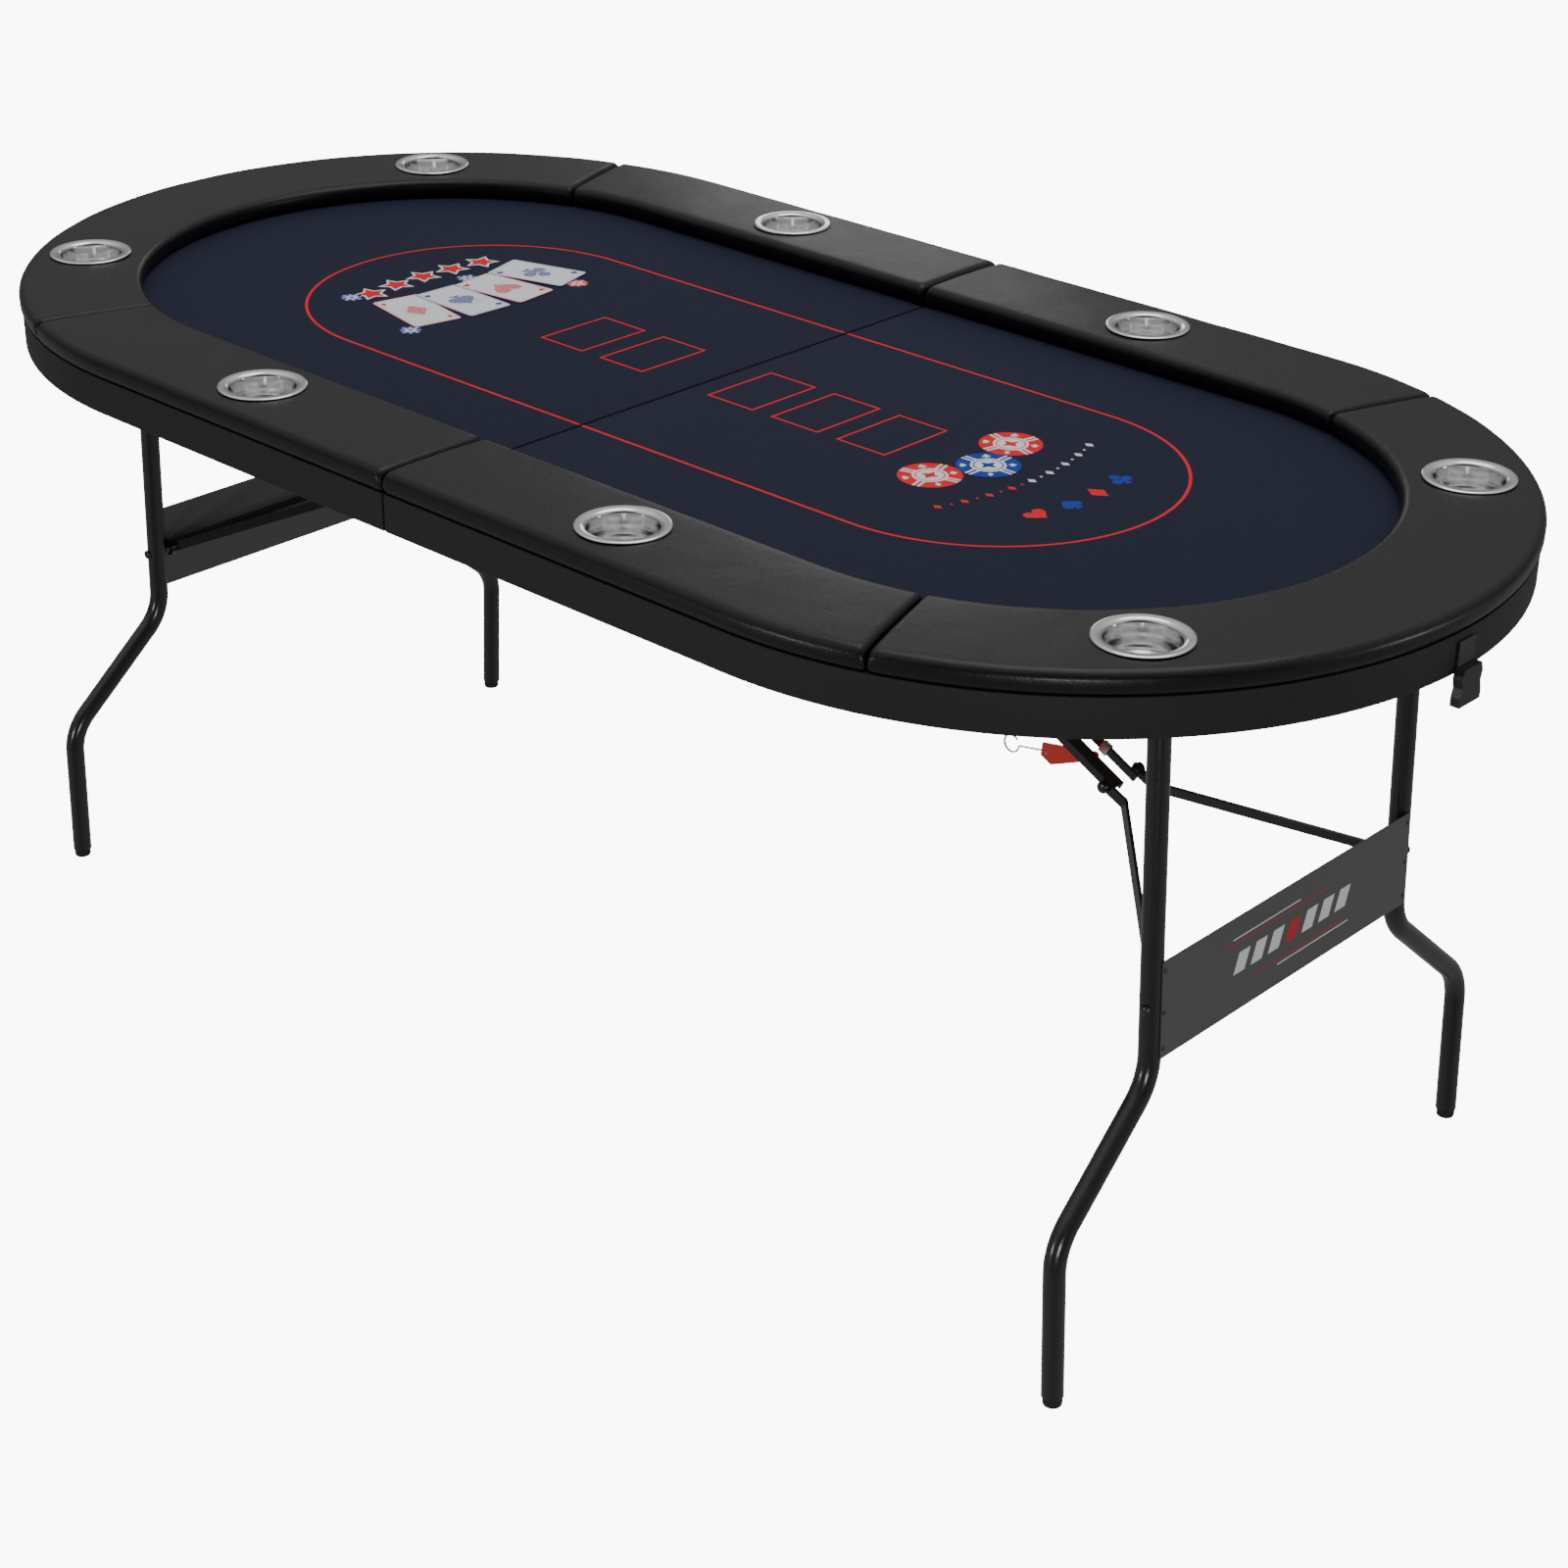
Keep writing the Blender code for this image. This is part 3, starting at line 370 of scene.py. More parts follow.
CLOTH_REACH = INNER_RADIUS + CLOTH_TUCK
for side, turn in SIDES.items():
    bm = bmesh.new()
    outline = half_outline(CLOTH_REACH, FOLD_X, 96)
    face = bm.faces.new([bm.verts.new((x, y, CLOTH_LOW.z)) for x, y in outline])
    grown = bmesh.ops.extrude_face_region(bm, geom=[face])["geom"]
    top = [v for v in grown if isinstance(v, bmesh.types.BMVert)]
    bmesh.ops.translate(bm, verts=top, vec=(0, 0, CLOTH_HIGH.z - CLOTH_LOW.z))
    fold_edges = [e for e in bm.edges if all(v.co.x < FOLD_X + 1e-6 and v in top for v in e.verts)]
    bmesh.ops.bevel(bm, geom=fold_edges, offset=FOLD_ROUND, segments=4, affect="EDGES",
                    profile=0.5, material=-1)
    cloth = piece(side + "_cloth", bm, CLOTH, side + "_half", [side + "_play_cloth"], turn)

# ------------------------------------------------------------------ apron
# A D-shaped skirt under the rail with a fine pebbled black skin, its lower edge rolled. A step
# in its cross rail at the fold lets the cloth run over it.
SKIRT = new_material("apron_skin", (0.011, 0.011, 0.012), 0.60, Specular_IOR_Level=0.30)
fleck = speckle(SKIRT, 260.0, 3.0, 0.7)
fine = bump(SKIRT, pebble(SKIRT, 520.0), 0.0003, 0.6)
bump(SKIRT, fleck, 0.0004, 0.4, fine)
tint(SKIRT, fleck, (0.0150, 0.0150, 0.0160), (0.0290, 0.0290, 0.0300))

APRON_WALL = 0.015
EDGE_ROLL = 0.0025
EDGE_BREAK = 0.0006
SKIRT_INSET = 0.0008
STEP_DEPTH = 0.02
for side, turn in SIDES.items():
    bm = bmesh.new()
    low = APRON_LOW.z
    high = APRON_HIGH.z
    section = [(EDGE_BREAK, high), (0.0, high - EDGE_BREAK)]
    for i in range(5):
        a = i * math.pi / 8
        section.append((EDGE_ROLL * (1 - math.cos(a)), low + EDGE_ROLL * (1 - math.sin(a))))
    section += [(APRON_WALL - 0.001, low), (APRON_WALL, low + 0.001), (APRON_WALL, high)]
    rings = []
    for inward, z in section:
        outline = half_outline(OUTER_RADIUS - SKIRT_INSET - inward, FOLD_X + inward, 128)
        rings.append([bm.verts.new((x, y, z)) for x, y in outline])
    skin(bm, rings, endless=True)
    skirt = piece(side + "_apron_skirt", bm, SKIRT, side + "_half", [side + "_apron"], turn)
    step = bmesh.new()
    bmesh.ops.create_cube(step, size=1.0)
    bmesh.ops.scale(step, vec=(APRON_WALL + 0.004, 2 * INNER_RADIUS, STEP_DEPTH), verts=step.verts)
    middle = (FOLD_X + APRON_WALL / 2, 0, CLOTH_LOW.z - 0.0003 + STEP_DEPTH / 2)
    bmesh.ops.translate(step, vec=middle, verts=step.verts)
    bmesh.ops.transform(step, matrix=turn, verts=step.verts)
    carve(skirt, step, "EXACT")

# ------------------------------------------------------------------ cup holders
# Deep-drawn stainless cups, polished, with a broad rolled flange that rests on the pad and a
# stepped ring part way down the bowl.
STAINLESS = new_material("stainless_polished", (0.90, 0.90, 0.91), 0.20, 1.0)
scratch = speckle(STAINLESS, 240.0, 5.0, 0.7)
bump(STAINLESS, scratch, 0.00004, 0.20)
vary_roughness(STAINLESS, scratch, 0.08, 0.18)

BOWL = 0.035
CUP_INSIDE = BOWL - 0.001
RIDGE = PAD_HIGH.z - 0.024      # height of the stepped ring in the bowl wall
CUP_STEPS = 72


def lathe(bm, profile, steps, matrix):
    """Spin a profile of radius and height, from the axis back to the axis, and put it in place."""
    line = [bm.verts.new(matrix @ Vector((r, 0, z))) for r, z in profile]
    edges = [bm.edges.new(pair) for pair in zip(line, line[1:])]
    axis = matrix.to_3x3() @ Vector((0, 0, 1))
    bmesh.ops.spin(bm, geom=line + edges, axis=axis, cent=matrix.translation, angle=2 * math.pi,
                   steps=steps, use_merge=True)
    bmesh.ops.remove_doubles(bm, verts=bm.verts, dist=1e-6)


def cup_profile(floor, top, flange):
    """Outside of the bowl, the rolled flange, then the inside down to the dished floor."""
    seat = PAD_HIGH.z + 0.0001
    inner = CUP_INSIDE
    return [
        (0, floor), (BOWL - 0.006, floor), (BOWL - 0.0015, floor + 0.0018), (BOWL, floor + 0.006),
        (BOWL, seat - 0.0015), (BOWL + 0.001, seat), (flange - 0.0008, seat), (flange, seat + 0.0005),
        (flange - 0.0004, top - 0.0006), (flange - 0.0016, top - 0.0001), (flange - 0.0032, top),
        (inner + 0.0055, top - 0.0003), (inner + 0.0028, top - 0.0008), (inner + 0.0008, top - 0.0022),
        (inner, top - 0.0045), (inner - 0.0002, RIDGE + 0.0030), (inner - 0.0006, RIDGE + 0.0010),
        (inner - 0.0016, RIDGE), (inner - 0.0020, RIDGE - 0.0012), (inner - 0.0021, RIDGE - 0.0040),
        (inner - 0.0023, floor + 0.0085), (inner - 0.0040, floor + 0.0040),
        (inner - 0.0070, floor + 0.0022), (inner - 0.0100, floor + 0.0026),
        (inner - 0.0120, floor + 0.0018), (0, floor + 0.0018)]


for side in SIDES:
    for which in ("side_near", "side_far", "end_near", "end_far"):
        name = f"{side}_cup_{which}"
        low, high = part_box(name)
        centre = (low + high) / 2
        bm = bmesh.new()
        lathe(bm, cup_profile(low.z, high.z, (high.x - low.x) / 2), CUP_STEPS,
              Matrix.Translation((centre.x, centre.y, 0)))
        piece(name + "_steel", bm, STAINLESS, side + "_half", [name], smooth_angle=45)

# ------------------------------------------------------------------ printing on the cloth
# Screen print in red, blue and white ink: a racetrack line, card boxes, chips, suit marks and a
# fan of cards. Each ink is one thin film per half, stacked in the order it was printed.
INK_COLOURS = {"red": (0.90, 0.026, 0.035), "blue": (0.022, 0.065, 0.38), "white": (0.92, 0.93, 0.96)}
INKS = {}
for ink, colour in INK_COLOURS.items():
    INKS[ink] = new_material("ink_" + ink, colour, 0.80, Specular_IOR_Level=0.15)
    bump(INKS[ink], place_effect(INKS[ink], WEAVE, Scale=WEAVE_SCALE), 0.0002, 0.35)

SURFACE = CLOTH_HIGH.z
INK_LIFT = 0.00012
LAYER = 0.00007
LINE = 0.0034           # width of the racetrack line
TRACK_RADIUS = 0.2005
TRACK_ARC_X = 0.366
TRACK_STEPS = 96
TRACK_START = FOLD_X + 0.0006   # the line ends where the cloth dips into the fold


class Print:
    """Flat ink shapes of one half, one mesh for each ink."""

    def __init__(self):
        self.inks = {ink: bmesh.new() for ink in INKS}

    def corners(self, ink, outline, layer):
        """Vertices of an outline at the height of its layer."""
        z = SURFACE + INK_LIFT + layer * LAYER
        return [self.inks[ink].verts.new((x, y, z)) for x, y in outline]

    def fill(self, ink, outline, layer=0):
        """One solid shape."""
        self.inks[ink].faces.new(self.corners(ink, outline, layer))

    def band(self, ink, outer, inner, layer=0, closed=True):
        """The strip between two outlines with equal numbers of points."""
        one = self.corners(ink, outer, layer)
        two = self.corners(ink, inner, layer)
        if closed:
            one.append(one[0])
            two.append(two[0])
        for strip in zip(one, one[1:], two[1:], two):
            self.inks[ink].faces.new(strip)


def circle(x, y, radius, steps=40):
    """A round outline."""
    turns = [2 * math.pi * i / steps for i in range(steps)]
    return [(x + radius * math.cos(a), y + radius * math.sin(a)) for a in turns]


def placed(outline, x, y, angle, size=1.0):
    """An outline drawn upright round its middle, turned, sized and moved. Up is +Y at angle 0."""
    c = math.cos(angle) * size
    s = math.sin(angle) * size
    return [(x + u * c - v * s, y + u * s + v * c) for u, v in outline]


def heart_outline():
    """Heart about one unit high, its point down."""
    points = []
    for i in range(36):
        t = 2 * math.pi * i / 36
        u = 0.031 * 16 * math.sin(t) ** 3
        v = 0.031 * (13 * math.cos(t) - 5 * math.cos(2 * t) - 2 * math.cos(3 * t) - math.cos(4 * t))
        points.append((u, v + 0.06))
    return points


HEART = heart_outline()
DIAMOND = [(0, 0.5), (-0.36, 0), (0, -0.5), (0.36, 0)]
LEAF = [(u * 0.92, -v * 0.85 + 0.06) for u, v in HEART]
STEM = [(-0.06, 0.0), (0.06, 0.0), (0.09, -0.32), (0.20, -0.48), (-0.20, -0.48), (-0.09, -0.32)]
CLUB_LOBES = ((0, 0.27), (-0.27, -0.09), (0.27, -0.09))
CLUB_LOBE = 0.215
ORNAMENT = [(0, 0.32), (-0.10, 0.10), (-0.32, 0), (-0.10, -0.10), (0, -0.32), (0.10, -0.10),
            (0.32, 0), (0.10, 0.10)]


def suit(page, kind, ink, x, y, angle, size, layer=0):
    """One suit mark. Overlapping shapes lie at slightly different heights."""
    if kind == "heart":
        page.fill(ink, placed(HEART, x, y, angle, size), layer)
    elif kind == "diamond":
        page.fill(ink, placed(DIAMOND, x, y, angle, size), layer)
    elif kind == "spade":
        page.fill(ink, placed(LEAF, x, y, angle, size), layer)
        page.fill(ink, placed(STEM, x, y, angle, size), layer + 0.3)
    else:
        for u, v in CLUB_LOBES:
            lobe = placed(circle(u, v, CLUB_LOBE, 24), x, y, angle, size)
            page.fill(ink, lobe, layer + 0.2 * (u + 0.3))
        page.fill(ink, placed(STEM, x, y, angle, size), layer + 0.3)


def chip(page, ink, x, y, radius, angle, layer=0):
    """A casino chip: a disc with edge bars, four suit marks and a white centre with a plain ring."""
    page.fill(ink, circle(x, y, radius), layer)
    for i, kind in enumerate(("heart", "diamond", "spade", "club")):
        a = angle + i * math.pi / 2
        for offset in (-0.085, 0.085):
            first = offset - 0.045
            last = offset + 0.045
            bar = [(first, 0.52), (last, 0.52), (last, 0.985), (first, 0.985)]
            page.fill("white", placed(bar, x, y, a, radius), layer + 1)
        b = a + math.pi / 4
        spot_x, spot_y = placed([(0, 0.76)], x, y, b, radius)[0]
        suit(page, kind, "white", spot_x, spot_y, b, radius * 0.27, layer + 1)
    page.fill("white", circle(x, y, radius * 0.56), layer + 1.1)
    page.band(ink, circle(x, y, radius * 0.47), circle(x, y, radius * 0.43), layer + 2)
    page.fill(ink, placed(ORNAMENT, x, y, angle, radius), layer + 2)


def oblong(width, length):
    """A square-cornered outline round its middle."""
    return [(i * width / 2, j * length / 2) for i, j in ((-1, -1), (1, -1), (1, 1), (-1, 1))]


def card_box(page, x, y, width, length, line):
    """A thin red outline for a card."""
    outer = placed(oblong(width, length), x, y, 0)
    inner = placed(oblong(width - 2 * line, length - 2 * line), x, y, 0)
    page.band("red", outer, inner)


def rounded_box(width, length, radius, inset=0.0):
    """A round-cornered outline round its middle, drawn in at its corners by the inset."""
    points = []
    for i, (sx, sy) in enumerate(((1, 1), (-1, 1), (-1, -1), (1, -1))):
        cx = sx * (width / 2 - radius)
        cy = sy * (length / 2 - radius)
        for k in range(5):
            a = i * math.pi / 2 + k * math.pi / 8
            points.append((cx + (radius - inset) * math.cos(a), cy + (radius - inset) * math.sin(a)))
    return points


CARD_CORNER = 0.005
CARD_PIP = 0.036
CARD_CORNER_PIP = 0.009
STRIPE_PITCH = 0.0036
STRIPE_WIDTH = 0.001


def playing_card(page, kind, ink, x, y, angle, width, length, layer):
    """A white card with a coloured rule, a large striped pip and two small corner pips."""
    edge = placed(rounded_box(width, length, CARD_CORNER), x, y, angle)
    page.fill("white", edge, layer)
    page.band(ink, edge, placed(rounded_box(width, length, CARD_CORNER, 0.0009), x, y, angle), layer + 1)
    page.band(ink, placed(rounded_box(width - 0.006, length - 0.006, 0.004), x, y, angle),
              placed(rounded_box(width - 0.006, length - 0.006, 0.004, 0.0004), x, y, angle), layer + 1)
    suit(page, kind, ink, x, y, angle, CARD_PIP, layer + 1)
    for i in range(-4, 5):
        stripe = [(u, v + i * STRIPE_PITCH) for u, v in oblong(0.034, STRIPE_WIDTH)]
        page.fill("white", placed(stripe, x, y, angle), layer + 2)
    for sign, turned in ((1, 0.0), (-1, math.pi)):
        corner = (sign * (0.009 - width / 2), sign * (length / 2 - 0.013))
        spot_x, spot_y = placed([corner], x, y, angle)[0]
        suit(page, kind, ink, spot_x, spot_y, angle + turned, CARD_CORNER_PIP, layer + 1)


CARD_WIDTH = 0.0655
CARD_LENGTH = 0.0975
CARD_LINE = 0.0026
TOWARD_PLUS_X = math.pi / 2     # upright for someone at the +X end
pages = {side: Print() for side in SIDES}
track = [half_outline(TRACK_RADIUS + side * LINE / 2, TRACK_START, TRACK_STEPS, TRACK_ARC_X)
         for side in (1, -1)]
for page in pages.values():
    page.band("red", *track, closed=False)

# Right half: three card boxes, three chips in an arc, an ornament row and four suit marks. A row
# is given by the x of its middle, its middle y, first y, pitch and bow.
CHIP_RADIUS = 0.0325
CHIPS = ((0.3414, -0.0551, "red", 0.25, 0), (0.3435, 0.0667, "red", -0.25, 0),
         (0.3652, 0.0053, "blue", 0.0, 4))
SUITS = (("heart", "red"), ("spade", "blue"), ("diamond", "red"), ("club", "blue"))
SUIT_SIZE = 0.0265
SUIT_ROW = (0.487, 0.004, -0.0600, 0.0425, 1.6)
MARKS = 17
MARK_SIZE = 0.0115
DOT_RADIUS = 0.0016
MARK_ROW = (0.4215, 0.006, -0.112, 0.0145, 1.55)


def row_spot(row, i):
    """Place of one mark in a bowed row."""
    x, middle, first, pitch, bow = row
    y = first + pitch * i
    return x - bow * (y - middle) ** 2, y


right = pages["right"]
for i in range(3):
    card_box(right, 0.0615 + 0.0905 * i, 0.0015, CARD_WIDTH, CARD_LENGTH, CARD_LINE)
for x, y, ink, angle, layer in CHIPS:
    chip(right, ink, x, y, CHIP_RADIUS, TOWARD_PLUS_X + angle, layer)
for i, (kind, ink) in enumerate(SUITS):
    suit(right, kind, ink, *row_spot(SUIT_ROW, i), TOWARD_PLUS_X, SUIT_SIZE)
for i in range(MARKS):
    x, y = row_spot(MARK_ROW, i)
    ink = "red" if i < MARKS // 2 else "white"
    if i % 2 == 0:
        suit(right, "diamond", ink, x, y, TOWARD_PLUS_X, MARK_SIZE)
    else:
        right.fill(ink, circle(x, y, DOT_RADIUS, 12))

# Left half, in its own coordinates: two card boxes, four small chips, a fan of four cards and an
# arched row of stars.
SMALL_CHIP_RADIUS = 0.0125
SMALL_CHIPS = ((0.4772, 0.1029, "blue", 0.3), (0.3445, 0.1300, "blue", 0.1),
               (0.4371, -0.0353, "blue", 0.5), (0.3352, -0.1122, "red", 0.2))
FAN = (("diamond", "red", 0.0815, 0.3905, -0.20), ("spade", "blue", 0.0215, 0.3805, -0.04),
       ("heart", "red", -0.0405, 0.3805, 0.12), ("club", "blue", -0.1036, 0.3935, 0.28))
STAR = []
for k in range(10):
    reach = 0.5 if k % 2 == 0 else 0.26
    a = k * math.pi / 5 + math.pi / 2
    STAR.append((reach * math.cos(a), reach * math.sin(a)))
STAR_ARC = 0.29         # radius of the row of stars
STAR_TURN = 0.145
STAR_SIZES = (("white", 0.044), ("red", 0.033))
left = pages["left"]
for i in range(2):
    card_box(left, 0.1015 + 0.0925 * i, -0.0028, CARD_WIDTH, CARD_LENGTH, CARD_LINE)
for x, y, ink, angle in SMALL_CHIPS:
    chip(left, ink, x, y, SMALL_CHIP_RADIUS, angle)
for i, (kind, ink, y, x, angle) in enumerate(FAN):
    playing_card(left, kind, ink, x, y, TOWARD_PLUS_X + angle, 0.0600, 0.1010, 4 + 4 * i)
for i in range(5):
    a = (i - 2) * STAR_TURN
    x = 0.478 - STAR_ARC * (1 - math.cos(a)) * 0.55
    y = -0.004 + STAR_ARC * math.sin(a)
    for layer, (ink, size) in enumerate(STAR_SIZES):
        left.fill(ink, placed(STAR, x, y, -TOWARD_PLUS_X - a, size), layer)

for side, page in pages.items():
    for ink, bm in page.inks.items():
        piece(f"{side}_print_{ink}", bm, INKS[ink], side + "_half", turn=SIDES[side],
              looks=Vector((0, 0, 1)))

# ------------------------------------------------------------------ leg frames
# One bent steel tube for each frame, gloss black powder coat, with a thin stretcher between the
# legs and plastic plugs for feet.
PAINT = new_material("paint_gloss_black", (0.0160, 0.0160, 0.0168), 0.27, Coat_Weight=0.5,
                     Coat_Roughness=0.12)
peel = speckle(PAINT, 170.0, 2.0)
bump(PAINT, peel, 0.00025, 0.18)
vary_roughness(PAINT, peel, 0.22, 0.34)
RUBBER = new_material("rubber_black", (0.016, 0.016, 0.016), 0.72)
bump(RUBBER, speckle(RUBBER, 350.0, 3.0), 0.0003, 0.4)

JOINTS = {joint["name"]: Vector(joint["pos_m"]) for joint in frame["joints"]}
PIVOT = JOINTS["right_leg_fold"]
STRETCHER = JOINTS["right_v_brace_swing"]
STRETCHER_RADIUS = 0.006
LEAN = math.radians(2.75)
OUT = Vector((math.cos(LEAN), 0, math.sin(LEAN)))   # square to the leg, away from the fold
TUBE_RADIUS = 0.011
KNEE_BEND_Y = 0.341     # lower, outer bend
KNEE_BEND_DROP = 0.5355
LEG_Y = 0.2045          # upper leg
LEG_BEND_DROP = 0.4165
LEG_BEND_RADIUS = 0.060
TOP_BEND_RADIUS = 0.035
FIT_GAP = 0.0003
TUBE_SIDES = 32


def tube(bm, path, radius, sides):
    """A round bar along a path, with closed ends."""
    heading = (path[1] - path[0]).normalized()
    turn = heading.to_track_quat("Z", "Y")
    rings = []
    for i, point in enumerate(path):
        ahead = (path[min(i + 1, len(path) - 1)] - point).normalized()
        behind = (point - path[max(i - 1, 0)]).normalized()
        now = (ahead + behind).normalized()
        turn = heading.rotation_difference(now) @ turn
        heading = now
        matrix = Matrix.Translation(point) @ turn.to_matrix().to_4x4()
        made = bmesh.ops.create_circle(bm, segments=sides, radius=radius, matrix=matrix)
        rings.append(made["verts"])
    skin(bm, rings)


def rounded(points, radii, steps):
    """A path through corner points, with an arc at each inner corner."""
    path = [points[0]]
    for before, corner, after, radius in zip(points, points[1:], points[2:], radii):
        back = (before - corner).normalized()
        ahead = (after - corner).normalized()
        half = back.angle(ahead) / 2
        centre = corner + (back + ahead).normalized() * radius / math.sin(half)
        first = corner + back * radius / math.tan(half) - centre
        last = corner + ahead * radius / math.tan(half) - centre
        for i in range(steps + 1):
            path.append(centre + first.slerp(last, i / steps).normalized() * radius)
    path.append(points[-1])
    return path


def on_leg(y, drop, out=0.0):
    """A point of the right leg frame: across, below the pivot along the leg, and outward of it."""
    down = Vector((math.sin(LEAN), 0, -math.cos(LEAN)))
    return Vector((PIVOT.x, y, PIVOT.z)) + down * drop + OUT * out


FOOT_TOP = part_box("right_foot_far")[1].z
LEG_LENGTH = (PIVOT.z - FOOT_TOP) / math.cos(LEAN) - TUBE_RADIUS * math.tan(LEAN) - FIT_GAP
for side, turn in SIDES.items():
    corners = [on_leg(-KNEE_BEND_Y, LEG_LENGTH), on_leg(-KNEE_BEND_Y, KNEE_BEND_DROP),
               on_leg(-LEG_Y, LEG_BEND_DROP), on_leg(-LEG_Y, 0)]
    corners += [Vector((p.x, -p.y, p.z)) for p in reversed(corners)]
    radii = [LEG_BEND_RADIUS] * 2 + [TOP_BEND_RADIUS] * 2 + [LEG_BEND_RADIUS] * 2
    bm = bmesh.new()
    tube(bm, rounded(corners, radii, 14), TUBE_RADIUS, TUBE_SIDES)
    piece(side + "_leg_tube", bm, PAINT, side + "_leg", [side + "_leg_frame"], turn)
    bm = bmesh.new()
    end = Vector((0, LEG_Y - TUBE_RADIUS - FIT_GAP, 0))
    tube(bm, [STRETCHER - end, STRETCHER + end], STRETCHER_RADIUS, TUBE_SIDES)
    piece(side + "_stretcher_tube", bm, PAINT, side + "_leg", [side + "_stretcher"], turn)
    for which in ("near", "far"):
        low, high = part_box(f"{side}_foot_{which}")
        radius = (high.x - low.x) / 2
        profile = [(0, 0), (radius - 0.0022, 0), (radius - 0.0006, 0.0006), (radius, 0.0020),
                   (radius, high.z - 0.0008), (radius - 0.0006, high.z), (0, high.z)]
        bm = bmesh.new()
        lathe(bm, profile, 40, Matrix.Translation(((low.x + high.x) / 2, (low.y + high.y) / 2, 0)))
        piece(f"{side}_foot_plug_{which}", bm, RUBBER, side + "_leg", [f"{side}_foot_{which}"])

# ------------------------------------------------------------------ metal parts kept from the frame
# Panels, brace bars, channels, levers, saddles, hinges and buckles have their true shape
# already: they get fine rounded edges and their own finish.
CHARCOAL = new_material("paint_charcoal", (0.095, 0.095, 0.098), 0.46, Coat_Weight=0.1,
                        Coat_Roughness=0.3)
fleck = speckle(CHARCOAL, 600.0, 2.0)
bump(CHARCOAL, fleck, 0.00015, 0.35)
vary_roughness(CHARCOAL, fleck, 0.36, 0.52)
RED = new_material("paint_red", (0.80, 0.035, 0.025), 0.33, Coat_Weight=0.3, Coat_Roughness=0.15)
bump(RED, speckle(RED, 220.0, 2.0), 0.0002, 0.25)
ZINC = new_material("zinc_bright", (0.80, 0.81, 0.83), 0.27, 1.0)
vary_roughness(ZINC, pebble(ZINC, 260.0), 0.20, 0.38)
bump(ZINC, speckle(ZINC, 500.0, 3.0), 0.00008, 0.3)
PLASTIC = new_material("plastic_black", (0.018, 0.018, 0.020), 0.40)
bump(PLASTIC, speckle(PLASTIC, 800.0, 2.0), 0.00012, 0.4)
FIBREBOARD = new_material("fibreboard", (0.19, 0.125, 0.075), 0.82)
fleck = speckle(FIBREBOARD, 320.0, 5.0, 0.7)
tint(FIBREBOARD, fleck, (0.12, 0.075, 0.042), (0.27, 0.185, 0.115))
bump(FIBREBOARD, fleck, 0.0003, 0.4)
WEBBING = new_material("webbing_black", (0.014, 0.014, 0.016), 0.85, Sheen_Weight=0.2)
place = add(WEBBING.node_tree, "ShaderNodeTexCoord")
twill = add(WEBBING.node_tree, "ShaderNodeTexWave", Scale=190.0, Distortion=0.4)
twill.bands_direction = "DIAGONAL"
WEBBING.node_tree.links.new(place.outputs["Object"], twill.inputs["Vector"])
bump(WEBBING, twill.outputs["Fac"], 0.0006, 0.8)

# Finish and edge rounding of each node, by its name without the side.
FINISHES = {
    "top_board": (FIBREBOARD, 0), "strap": (WEBBING, 0.0005), "leg_panel": (CHARCOAL, 0.00035),
    "v_brace_near": (PAINT, 0.0006), "v_brace_far": (PAINT, 0.0006), "link_bar": (PAINT, 0.0006),
    "link_channel": (PAINT, 0.0003), "brace_bracket": (PAINT, 0.0004), "lock_lever": (RED, 0.0004),
    "lever_pull": (ZINC, 0), "slide_clip": (ZINC, 0.0002), "saddle_near": (ZINC, 0.0003),
    "saddle_far": (ZINC, 0.0003), "hinge_leaf_near": (ZINC, 0.0003), "hinge_leaf_far": (ZINC, 0.0003),
    "hinge_pin_near": (ZINC, 0.0003), "hinge_pin_far": (ZINC, 0.0003),
    "buckle_socket": (PLASTIC, 0.0007), "buckle_plug": (PLASTIC, 0.0007),
}
for name, node in frame["nodes"].items():
    side, _, rest = name.partition("_")
    plain = rest if side in SIDES else name
    if plain not in FINISHES:
        continue
    finish, edge = FINISHES[plain]
    node.data.materials.clear()
    node.data.materials.append(finish)
    if edge:
        bevel = node.modifiers.new("edges", "BEVEL")
        bevel.width = edge
        bevel.segments = 2
        bevel.limit_method = "ANGLE"
        bevel.angle_limit = math.radians(40)
        bevel.harden_normals = False

# ------------------------------------------------------------------ fasteners
# Domed steel heads: the bolts of the stretcher and of the brace's knee, the rivets that hold the
# panel on the legs, and the screws of the saddles and the hinges under the boards.
KNEE_X = 0.5550
KNEE_Z = 0.4593
KNEE_BAR = 0.0064       # thickness of a brace bar and its plain bolt head
KNEE_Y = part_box("right_v_brace_far")[0].y + KNEE_BAR
STRETCHER_BOLT = (0.0055, 0.0040)       # radius and height of a head
PANEL_RIVET = (0.0026, 0.0012)
KNEE_BOLT = (0.0062, 0.0034)
SADDLE_SCREW = (0.0042, 0.0022)
HINGE_SCREW = (0.0035, 0.0014)
SCREW_INSET = 0.009
LEAF_END_INSET = 0.012
SADDLE_SHEET = 0.0015
LEAF_SHEET = 0.0016
RIVET_DROPS = (0.299, 0.343, 0.381)
RIVET_INSET = 0.004
PANEL_FACE = TUBE_RADIUS + 0.0015       # outer face of the panel, out from the tube centre


def dome(bm, place, outward, size):
    """A domed bolt, screw or rivet head that stands on a face."""
    radius, height = size
    rise = height * 0.3
    profile = [(0, 0), (radius, 0), (radius, rise)]
    for i in range(1, 5):
        a = i * math.pi / 10
        profile.append((radius * math.cos(a), rise + (height - rise) * math.sin(a)))
    profile.append((0, height))
    turn = Vector(outward).to_track_quat("Z", "Y").to_matrix().to_4x4()
    lathe(bm, profile, 20, Matrix.Translation(place) @ turn)


